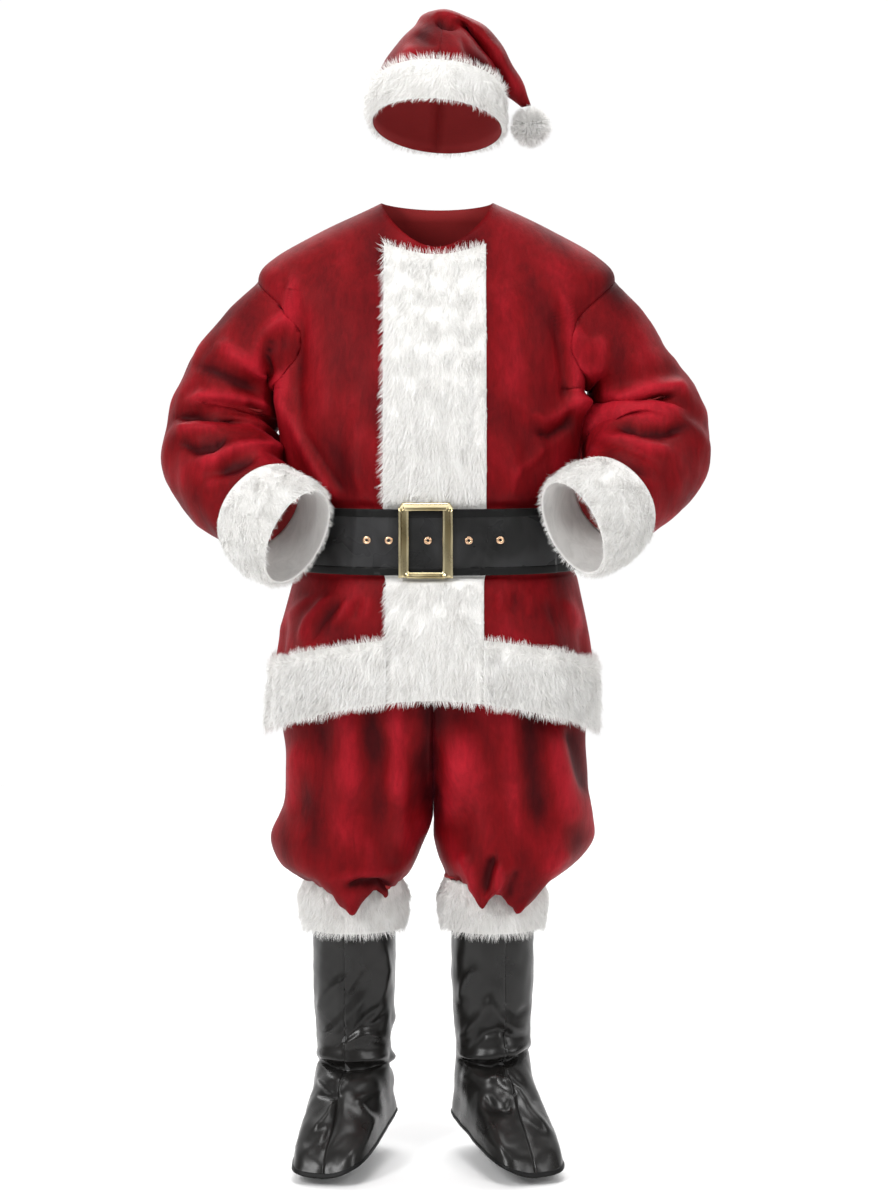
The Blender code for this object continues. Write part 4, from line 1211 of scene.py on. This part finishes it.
def make_hat():
    rows = cells(0.46, 0.0045)
    columns = cells(0.30, 0.0045)
    levels = np.linspace(0.0, 12.0, rows + 1)
    row = at(HAT, levels)
    seam = SEWN / np.abs(row.x_in - row.x_out)
    for word, start, end in (("right", -QUARTER, QUARTER), ("left", QUARTER, 3 * QUARTER)):
        s = np.linspace(0, 1, columns + 1)[None, :]
        low = (start + seam)[:, None]
        high = (end - seam)[:, None]
        u = low * (1 - s) + high * s
        v = np.broadcast_to(levels[:, None], u.shape)
        made = cloth("hat_%s_velvet" % word, hat, u, v, CLOTH, VELVET_WALL, hat_push)
        settle(made, "velvet", "hat_" + word)
        make_pompom() if word == "left" else ()


def hat_push(u, v, base):
    free = smooth((v - 1.4) / 0.5) * smooth((12 - v) / 0.8)
    crease = all_round(HAT_CREASES, base, np.sin(u))
    return (crease + waves(base, 0.06, 71) * 0.0012) * free


def make_hat_band():
    rows = 16
    columns = 112
    t = np.linspace(0, 1, rows + 1)
    turns = QUARTER + ring(columns)
    u, v = np.meshgrid(turns, t * HAT_BAND_ROWS[-1])
    t = np.broadcast_to(t[:, None], u.shape)
    low, high, away = fur_base(hat, u, v, SEAM, dome(t, 0.0015, 0.0070), push=hat_push)
    rise = 2.1 * smooth((t - 0.74) / 0.22) - 0.9
    fall = np.stack([0.3 * waves(high, 0.05, 74) - 0.25, 0 * t, rise], -1) + away * 0.15
    keep = 1 + 0.15 * smooth((t - 0.85) / 0.15)
    fur_piece("hat_fur_band", low, high, away, fall, HAT_FUR, True,
              rests_on=["hat_left", "hat_right"], keep=keep[..., None])


def make_pompom():
    """A ball of strands that stand straight out of a small core."""
    low, high = FRAME_BOXES["hat_pompom"]
    centre = (low + high) / 2 + np.array([-0.009, -0.006, -0.004])
    radius = (high - low).min() / 2
    turns, tilts = np.meshgrid(np.arange(40) * 2 * math.pi / 40,
                               np.linspace(0.02, math.pi - 0.02, 25))
    away = np.stack([np.sin(tilts) * np.cos(turns), np.sin(tilts) * np.sin(turns),
                     -np.cos(tilts)], -1)
    away = away[:, ::-1]
    high = centre + away * radius * 0.62
    low = centre + away * radius * 0.45
    fall = away * 0.5 + DOWN * 0.35
    return fur_piece("hat_pompom", low, high, away, fall, Fur(POMPOM_STRANDS, radius * 0.50, 81),
                     True, stand=1.0, tuft=0.013)


def belt_lift(angle):
    """Height of the strap's inner face above the jacket. The strap starts behind the
    buckle, goes round by the left side and ends on top of itself."""
    return BELT_LIFT + TAIL_RISE * smooth((angle - 1.45 * math.pi) / (0.3 * math.pi))


def belt_wrinkles(u, v):
    """Shallow bends of the strap beside the buckle and at the sides."""
    height = np.zeros(u.shape)
    for centre, lean, wide, deep in BELT_BENDS:
        off = wrapped(np.degrees(u) - centre - lean * (v - 3.5)) / wide
        height = height + deep * 1e-3 * np.exp(-off * off)
    return height


STRAP_ROUND = 0.0006     # how far the strap's edges are rounded off


def make_belt():
    start = float(jacket_angle(BUCKLE_X, BELT_LOW))
    end = 2 * math.pi + TAIL_ANGLE
    columns = cells(1.5, 0.005)
    angles = np.linspace(start, end, columns + 1)

    def face(name, low_level, high_level, rows, inner, outer, look, node):
        u, v = np.meshgrid(angles, np.linspace(low_level, high_level, rows + 1))
        base = jacket(u, v)
        away = normal(jacket, u, v)
        t = (v - low_level) / (high_level - low_level)
        round_edge = (np.abs(2 * t - 1) ** 8)
        lift = belt_lift(u) + belt_wrinkles(u, v)
        outer_face = lifted(base, away, lift + outer - STRAP_ROUND * round_edge)
        inner_face = lifted(base, away, lift + inner)
        made = wall(name, outer_face, inner_face, [look], ratio=4)
        keep_cut(base, False)
        return settle(made, "vinyl", node)

    width = BINDING_WIDTH * (BELT_HIGH - BELT_LOW) / (BELT_TOP - BELT_BOTTOM)
    strap = face("belt_strap_vinyl", BELT_LOW, BELT_HIGH, 20, 0.0, STRAP, LOOKS["belt"],
                 "belt_strap")
    low = STRAP + SEAM
    edges = []
    for word, first, last in (("bottom", BELT_LOW, BELT_LOW + width),
                              ("top", BELT_HIGH - width, BELT_HIGH)):
        edges.append(face("belt_binding_%s_vinyl" % word, first, last, 8, low, low + BINDING,
                          LOOKS["binding"], "belt_binding_" + word))
    edges + [make_buckle()] + make_eyelets()


def belt_point(x, z, lift):
    """A point above the belt's face at the front."""
    levels = np.linspace(2.0, 5.0, 601)
    level = np.interp(z, at(JACKET, levels).z_side, levels)
    angle = jacket_angle(x, level)
    height = belt_lift(angle + 2 * math.pi) + STRAP + SEAM
    return jacket(angle, level) + normal(jacket, angle, level) * (height + lift)[..., None]


def paint_reflection(made, painted_reflection):
    """Writes each point's painted reflection for a metal: 0 for a painted dark reflection, 1 for
    the metal's own colour with a painted highlight.
    """
    data = made.data.attributes.new("painted_reflection", "FLOAT", "POINT").data
    data.foreach_set("value", np.ravel(painted_reflection).astype(np.float32))


def make_buckle():
    """A rectangular frame with mitred corners: a hollow between two raised lips, bent
    with the belt. Its colour holds painted reflection: darker across the middle of each
    bar, a painted highlight at its edges, and slow painted stripes along the frame."""
    half_x = BUCKLE_WIDTH / 2
    half_z = BUCKLE_HEIGHT / 2
    section = np.array(BUCKLE_SECTION)
    steps = 14
    outline = []
    for turn in range(4):
        across = (1, 1, -1, -1)[turn]
        up = (-1, 1, 1, -1)[turn]
        for i in range(steps):
            angle = (turn - 1 + i / (steps - 1)) * QUARTER
            outline.append((across, up, math.cos(angle), math.sin(angle)))
    points = []
    for across, up, cosine, sine in outline:
        inward = section[:, 0] * BUCKLE_BAR
        radius = np.maximum(0.0085 - inward * 0.35, 0.002)
        x = across * (half_x - inward - radius) + radius * cosine
        z = up * (half_z - inward - radius) + radius * sine
        points.append(np.stack([x, z, section[:, 1] * BUCKLE_DEPTH], -1))
    flat = np.array(points)
    rings = []
    for i in range(len(flat)):
        ahead = flat[(i + 1) % len(flat)]
        pieces = 1 if i % steps < steps - 1 else 24
        for k in range(pieces):
            rings.append(flat[i] + (ahead - flat[i]) * k / pieces)
    flat = np.array(rings)
    wavy = 0.00022 * np.sin(flat[..., 0] * 170 + flat[..., 1] * 110)
    placed = belt_point(BUCKLE_X + flat[..., 0] + wavy * 0.6, BUCKLE_Z + flat[..., 1] + wavy * 0.6,
                        BINDING + 0.0008 + flat[..., 2] + wavy * (section[:, 1] > 0.3))
    count = len(section)
    quads = grid_quads(len(flat) + 1, count, True) % (len(flat) * count)
    made = add_mesh("belt_buckle_gold", placed.reshape(-1, 3), quads,
                    np.zeros((0, 3), int), [LOOKS["gold"]])
    # Painted reflection: the middle of each bar gets a painted dark reflection, the edge lips a
    # painted highlight, and the sine adds slow painted stripes along the frame.
    lips = smooth((np.abs(section[:, 0] - 0.5) - 0.28) / 0.10)
    shine = 0.34 + 0.10 * np.sin(flat[..., 0] * 90 + flat[..., 1] * 55 + 0.8)
    paint_reflection(made, shine + (1 - shine) * lips)
    return settle(made, "gold", "belt_buckle")


def make_eyelets():
    """Rolled brass rings, each with a near-black disk in its middle: painted shade where the hole
    is.
    """
    sides = 40
    turns = np.arange(sides) * 2 * math.pi / sides
    section = np.array(EYELET_SECTION)
    made_all = []
    for number, x in enumerate(EYELETS_X, 1):
        radius = EYELET_OUTER * section[:, 0]
        lift = EYELET_HEIGHT * section[:, 1]
        px = x + radius[None, :] * np.cos(turns)[:, None]
        pz = BUCKLE_Z + radius[None, :] * np.sin(turns)[:, None]
        placed = belt_point(px, pz, np.broadcast_to(lift, px.shape))
        count = len(section)
        quads = grid_quads(sides + 1, count, False) % (sides * count)
        # The disk inside each ring takes the near-black look, painted shade standing for the hole.
        looks = [LOOKS["brass"], LOOKS["hole"]]
        which = np.tile((section[:-1, 0] < 0.42) * 1, sides)
        made = add_mesh("belt_eyelet_%d_brass" % number, placed.reshape(-1, 3), quads,
                        np.zeros((0, 3), int), looks, which)
        paint_reflection(made, np.ones(placed.shape[:2]))
        made_all.append(settle(made, "gold", "belt_eyelet_%d" % number))
    return made_all


def make_trousers():
    rows = cells(0.60, 0.0055)
    columns = cells(0.46, 0.0060)
    levels = np.linspace(0.0, 10.0, rows + 1)
    s = np.linspace(0, 1, columns + 1)[None, :]
    for side, word in ((1, "left"), (-1, "right")):
        surface = leg(side)
        seam = SEWN / 2 / at(LEG_LEFT, levels).front
        end = np.minimum(leg_reach(side, levels), math.pi - seam)
        for part, first, last in (("front", seam, end),
                                  ("back", 2 * math.pi - end, 2 * math.pi - seam)):
            u = first[:, None] * (1 - s) + last[:, None] * s
            v = np.broadcast_to(levels[:, None], u.shape)
            node = "trouser_%s_%s" % (word, part)
            made = cloth(node + "_velvet", surface, u, v, CLOTH, VELVET_WALL, trouser_push,
                         side, sink=False)
            meet_middle_seam(made, side, len(levels), columns + 1,
                             -1 if part == "front" else 0)
            settle(made, "velvet", node)


def meet_middle_seam(made, side, rows, columns, edge):
    """Holds both legs to the seam between them, down to the crotch."""
    count = len(made.data.vertices)
    points = np.empty(count * 3, np.float32)
    made.data.vertices.foreach_get("co", points)
    points = points.reshape(-1, 3)
    beyond = side * (points[:, 0] - MIDDLE_SEAM_X)
    points[:, 0] = MIDDLE_SEAM_X + side * np.maximum(beyond, SEAM / 2)
    face = points[:rows * columns].reshape(rows, columns, 3)
    joined = face[:, edge, 2] > CROTCH_Z
    face[joined, edge, 0] = MIDDLE_SEAM_X + side * SEAM / 2
    made.data.vertices.foreach_set("co", points.ravel())
    made.data.update()


def trouser_push(u, v, base):
    free = smooth(v / 2.0)
    own = 1.2 * all_round(TROUSER_CREASES, base, np.sin(u), TROUSER_BACK_CREASES)
    gather = 0.0022 * np.sin(u * 23 + 2 * np.sin(u * 5)) * smooth((v - 7.2) / 2.2)
    gather = gather * np.abs(np.sin(u)) ** 0.5
    return (own + gather + waves(base, 0.11, 91) * 0.0016) * free


WAIST_CASING = 0.0035    # waistband with its elastic


def make_waistband():
    low = level_at(JACKET, "z_side", -0.5245)
    high = level_at(JACKET, "z_side", -0.488)
    columns = cells(1.3, 0.006)
    rows = 8
    turns = ring(columns)
    u, v = np.meshgrid(turns, np.linspace(low, high, rows + 1))
    outer = -CLOTH - 0.0012 - 0.0008 * np.sin(u * 60 + 3 * np.sin(u * 7)) ** 2
    base = jacket(u, v)
    away = normal(jacket, u, v)
    made = wall("trouser_waistband_velvet", lifted(base, away, outer),
                lifted(base, away, outer - WAIST_CASING), VELVET_WALL, True)
    keep_cut(base, True)
    settle(made, "velvet", "trouser_waistband")


def boot_push(side):
    def push(u, v, base):
        own = 1.3 * all_round(BOOT_WRINKLES, base, np.cos(u))
        fine = waves(base, 0.05, 101 + side) * 0.0007 + waves(base, 0.022, 103 + side) * 0.00025
        return own + fine
    return push


def make_boot(side, word):
    surface = boot(side)
    rows = cells(0.50, 0.0042)
    columns = cells(0.26, 0.0045)
    levels = np.linspace(0.0, 9.0, rows + 1)
    seam = SEWN / 2 / BOOT[0].half
    s = np.linspace(0, 1, columns + 1)[None, :]
    for part, first, last in (("outer", seam, math.pi - seam),
                              ("inner", math.pi + seam, 2 * math.pi - seam)):
        u = np.broadcast_to(first * (1 - s) + last * s, (rows + 1, columns + 1))
        v = np.broadcast_to(levels[:, None], u.shape)
        node = "boot_%s_%s" % (word, part)
        made = cloth(node + "_vinyl", surface, u, v, VINYL, [LOOKS["vinyl"], LOOKS["vinyl_back"]],
                     boot_push(side), -side)
        settle(made, "vinyl", node)
    columns = 160
    turns = ring(columns)
    u, v = np.meshgrid(turns, np.linspace(BOOT_EDGE[0], BOOT_EDGE[1], 9))
    base = surface(u, v)
    away = normal(surface, u, v, -side)
    extra = boot_push(side)(u, v, base)
    t = (v - BOOT_EDGE[0]) / (BOOT_EDGE[1] - BOOT_EDGE[0])
    top = SEAM + BINDING * (1 - np.abs(2 * t - 1) ** 6) + 0.0004 + extra
    node = "boot_%s_binding" % word
    made = wall(node + "_vinyl", lifted(base, away, top),
                lifted(base, away, SEAM + extra), [LOOKS["binding"]], True, side > 0, 4)
    settle(made, "vinyl", node)


class Look:
    """A material being made: its nodes, and the shader that they lead to."""

    def __init__(self, name, **inputs):
        self.made = bpy.data.materials.new(name)
        self.made.use_nodes = True
        self.tree = self.made.node_tree
        self.put(self.tree.nodes["Principled BSDF"], **inputs)

    def put(self, node, **inputs):
        """Sets inputs, whose names have _ for a space, to a value, a colour or an output."""
        for name, source in inputs.items():
            socket = node.inputs[name.replace("_", " ")]
            if isinstance(source, bpy.types.NodeSocket):
                self.tree.links.new(source, socket)
            else:
                socket.default_value = source

    def finish(self, **inputs):
        self.put(self.tree.nodes["Principled BSDF"], **inputs)
        return self.made

    def node(self, kind, result, **inputs):
        made = self.tree.nodes.new("ShaderNode" + kind)
        self.put(made, **inputs)
        return made.outputs[result]

    def attribute(self, name):
        made = self.tree.nodes.new("ShaderNodeAttribute")
        made.attribute_name = name
        return made.outputs["Fac"]

    def noise(self, size, detail=4.0, rough=0.55, distortion=0.0, stretch=None):
        place = self.node("TexCoord", "Object")
        if stretch:
            place = self.node("Mapping", "Vector", Vector=place, Scale=stretch)
        return self.node("TexNoise", "Fac", Vector=place, Scale=size, Detail=detail,
                         Roughness=rough, Distortion=distortion)

    def ramp(self, source, *stops):
        """A colour ramp. A stop is a place with a colour or with one number for a grey."""
        node = self.tree.nodes.new("ShaderNodeValToRGB")
        for i, (place, colour) in enumerate(stops):
            elements = node.color_ramp.elements
            element = elements[i] if i < 2 else elements.new(place)
            element.position = place
            element.color = (*(colour if isinstance(colour, tuple) else (colour,) * 3), 1.0)
        self.put(node, Fac=source)
        return node.outputs["Color"]

    def mix(self, share, first, second, blend="MIX"):
        node = self.tree.nodes.new("ShaderNodeMix")
        node.data_type = "RGBA"
        node.blend_type = blend
        for name, source in (("Factor", share), ("A", first), ("B", second)):
            socket = [s for s in node.inputs if s.name == name and s.enabled][0]
            if isinstance(source, bpy.types.NodeSocket):
                self.tree.links.new(source, socket)
            else:
                socket.default_value = source
        return [s for s in node.outputs if s.enabled][0]

    def bump(self, height, strength, distance, **after):
        return self.node("Bump", "Normal", Strength=strength, Distance=distance,
                         Height=height, **after)


def velvet(name, dark, mid, bright):
    """A velvet pile: broad patches where it lies another way, painted shade in the troughs of
    folds and painted highlight on their ridges, and a fine grain.
    """
    look = Look(name)
    patches = look.noise(14, 6, 0.66, 0.5, (1.0, 1.0, 0.6))
    # Two thirds of the colour's share come from the point attribute, which holds painted shade in
    # troughs and painted highlight on ridges.
    share = look.mix(0.66, patches, look.attribute("pile_and_crease_shade"))
    colour = look.ramp(share, (0.28, dark), (0.50, mid), (0.82, bright))
    streaks = look.noise(130, 3, 0.6, 0.4, (1.0, 1.0, 0.25))
    grain = look.noise(900, 2, 0.6)
    for source, low, high in ((streaks, 0.80, 1.12), (grain, 0.86, 1.10)):
        colour = look.mix(1.0, colour, look.ramp(source, (0.3, low), (0.7, high)), "MULTIPLY")
    first = look.bump(grain, 0.35, 0.0006)
    second = look.bump(streaks, 0.25, 0.0012, Normal=first)
    return look.finish(
        Base_Color=colour, Roughness=look.ramp(patches, (0.3, 0.62), (0.7, 0.48)),
        Specular_IOR_Level=0.08, Sheen_Weight=0.09, Sheen_Roughness=0.32,
        Sheen_Tint=(1.0, 0.12, 0.20, 1.0), Normal=look.bump(patches, 0.25, 0.004, Normal=second))


def knit(name, colour):
    """The plain knitted back of the velvet."""
    look = Look(name, Roughness=0.8)
    rows = look.noise(500, 2, 0.5, stretch=(1.0, 1.0, 2.6))
    light = tuple(min(c * 1.25, 1.0) for c in colour)
    return look.finish(Base_Color=look.ramp(rows, (0.35, colour), (0.65, light)),
                       Normal=look.bump(rows, 0.4, 0.0005))


def fur_look(name, low, high):
    look = Look(name, Roughness=0.75, Specular_IOR_Level=0.25, Sheen_Weight=0.25)
    tufts = look.noise(60, 4, 0.6, 0.6, (1.0, 1.0, 0.4))
    return look.finish(Base_Color=look.ramp(tufts, (0.32, low), (0.62, high)),
                       Normal=look.bump(tufts, 0.3, 0.002 * 0.9))


def vinyl(name, dark, light, rough_low, rough_high):
    """Soft coated cloth: a fine grain, and dull and clear patches."""
    look = Look(name, Specular_IOR_Level=0.34)
    cloud = look.noise(14, 3, 0.5, 0.5)
    spots = look.noise(18, 2, 0.5)
    first = look.bump(look.noise(1600, 2, 0.5), 0.08, 0.0003)
    return look.finish(Base_Color=look.ramp(cloud, (0.35, dark), (0.65, light)),
                       Roughness=look.ramp(spots, (0.3, rough_low), (0.7, rough_high)),
                       Normal=look.bump(look.noise(32, 2, 0.5, 0.6), 0.10, 0.0016, Normal=first))


def metal(name, colour, dark_reflection, rough):
    look = Look(name, Metallic=1.0)
    marks = look.ramp(look.noise(200, 3, 0.6), (0.3, rough * 0.8), (0.75, rough * 1.4))
    # Base colour: a painted dark reflection where the point attribute is low, the metal's colour
    # where it is high.
    return look.finish(Base_Color=look.ramp(look.attribute("painted_reflection"), (0.1, dark_reflection), (0.75, colour)),
                       Roughness=marks, Normal=look.bump(look.noise(45, 2), 0.10, 0.0015))


def plain(name, colour, rough, shine=0.5):
    return Look(name, Base_Color=(*colour, 1.0), Roughness=rough, Specular_IOR_Level=shine).made


LOOKS = {
    "velvet": velvet("crimson_velvet", (0.048, 0.0008, 0.002), (0.165, 0.0024, 0.0046),
                     (0.38, 0.010, 0.020)),
    "velvet_back": knit("velvet_back", (0.26, 0.008, 0.009)),
    "fur": fur_look("white_fur", (0.82, 0.81, 0.79), (0.90, 0.895, 0.88)),
    "fur_skin": fur_look("white_fur_skin", (0.70, 0.69, 0.67), (0.80, 0.79, 0.77)),
    "vinyl": vinyl("boot_vinyl", (0.007, 0.0065, 0.006), (0.010, 0.0092, 0.0085), 0.25, 0.34),
    "vinyl_back": plain("boot_vinyl_back", (0.10, 0.10, 0.10), 0.8),
    "belt": vinyl("belt_vinyl", (0.007, 0.007, 0.0068), (0.024, 0.024, 0.025), 0.18, 0.42),
    "binding": plain("bound_edge", (0.003, 0.003, 0.003), 0.5, 0.2),
    # The second colour of each metal is its painted dark reflection; the eyelets use only the
    # first.
    "gold": metal("buckle_gold", (0.92, 0.80, 0.50), (0.16, 0.11, 0.03), 0.08),
    "brass": metal("eyelet_brass", (0.80, 0.52, 0.33), (0.60, 0.36, 0.20), 0.25),
    # Near-black painted shade for the eyelets' holes.
    "hole": plain("eyelet_hole_shade", (0.004, 0.004, 0.004), 0.9),
}
VELVET_WALL = [LOOKS["velvet"], LOOKS["velvet_back"]]
FRAME_BOXES = {name: [np.array(corner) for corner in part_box(name)] for name in ("hat_pompom",)}


WORLD_LIGHT = 0.36
LIT_POINT = (0, 0, -0.65)
BACKDROP_Y = 4.0
# Area lights: place, width and height in metres, and watts
STUDIO_LIGHTS = [
    ("key", (-2.4, -2.8, 1.5), (0.9, 1.8), 98),
    ("fill", (2.5, -2.6, 1.2), (1.0, 2.0), 44),
    ("top", (0.0, -1.2, 3.0), (1.6, 1.0), 52),
    ("behind", (0.0, 2.6, 2.6), (5.0, 2.0), 160),
]


def make_stage():
    """Pale floor, soft lights and the camera."""
    floor_z = SOLID_BOX[0][2] - 0.016
    bpy.ops.mesh.primitive_plane_add(size=60, location=(0, 0, floor_z))
    floor = bpy.context.object
    floor.name = "floor"
    floor.data.materials.append(plain("floor_white", (0.94, 0.94, 0.94), 0.9))
    bpy.ops.mesh.primitive_plane_add(size=30, location=(0, BACKDROP_Y, 0),
                                     rotation=(QUARTER, 0, 0))
    backdrop = bpy.context.object
    backdrop.name = "backdrop"
    lit = plain("backdrop_white", (0.0, 0.0, 0.0), 1.0)
    shader = lit.node_tree.nodes["Principled BSDF"]
    shader.inputs["Emission Color"].default_value = (1.0, 1.0, 1.0, 1.0)
    shader.inputs["Emission Strength"].default_value = 1.0
    tree = lit.node_tree
    clear = tree.nodes.new("ShaderNodeBsdfTransparent")
    facing = tree.nodes.new("ShaderNodeNewGeometry")
    one_sided = tree.nodes.new("ShaderNodeMixShader")
    tree.links.new(facing.outputs["Backfacing"], one_sided.inputs[0])
    tree.links.new(shader.outputs["BSDF"], one_sided.inputs[1])
    tree.links.new(clear.outputs["BSDF"], one_sided.inputs[2])
    tree.links.new(one_sided.outputs["Shader"], tree.nodes["Material Output"].inputs["Surface"])
    backdrop.data.materials.append(lit)
    world = bpy.data.worlds.new("studio")
    world.use_nodes = True
    world.node_tree.nodes["Background"].inputs["Color"].default_value = (1.0, 1.0, 1.0, 1.0)
    world.node_tree.nodes["Background"].inputs["Strength"].default_value = WORLD_LIGHT
    bpy.context.scene.world = world
    for name, place, size, power in STUDIO_LIGHTS:
        data = bpy.data.lights.new(name, "AREA")
        data.shape = "RECTANGLE"
        data.size = size[0]
        data.size_y = size[1]
        data.energy = power
        light = bpy.data.objects.new(name, data)
        light.location = place
        toward = Vector(LIT_POINT) - Vector(place)
        light.rotation_euler = toward.to_track_quat("-Z", "Y").to_euler()
        bpy.context.scene.collection.objects.link(light)
    data = bpy.data.cameras.new("camera")
    data.sensor_fit = "VERTICAL"
    data.angle_y = 2 * math.atan(PHOTO_HEIGHT / 2 / CAMERA_SCALE)
    camera = bpy.data.objects.new("camera", data)
    camera.location = (CAMERA_X, CAMERA_Y, CAMERA_Z)
    camera.rotation_euler = (QUARTER - CAMERA_TILT, 0, 0)
    bpy.context.scene.collection.objects.link(camera)
    bpy.context.scene.camera = camera
    bpy.context.scene.view_settings.view_transform = "Standard"


def main():
    make_hat()
    make_hat_band()
    make_jacket()
    make_front_band()
    make_hem_band()
    make_belt()
    make_trousers()
    make_waistband()
    for side, word in ((1, "left"), (-1, "right")):
        make_sleeve(side, word)
        make_cuff(side, word)
        make_leg_cuff(side, word)
        make_boot(side, word)
    make_stage()


main()
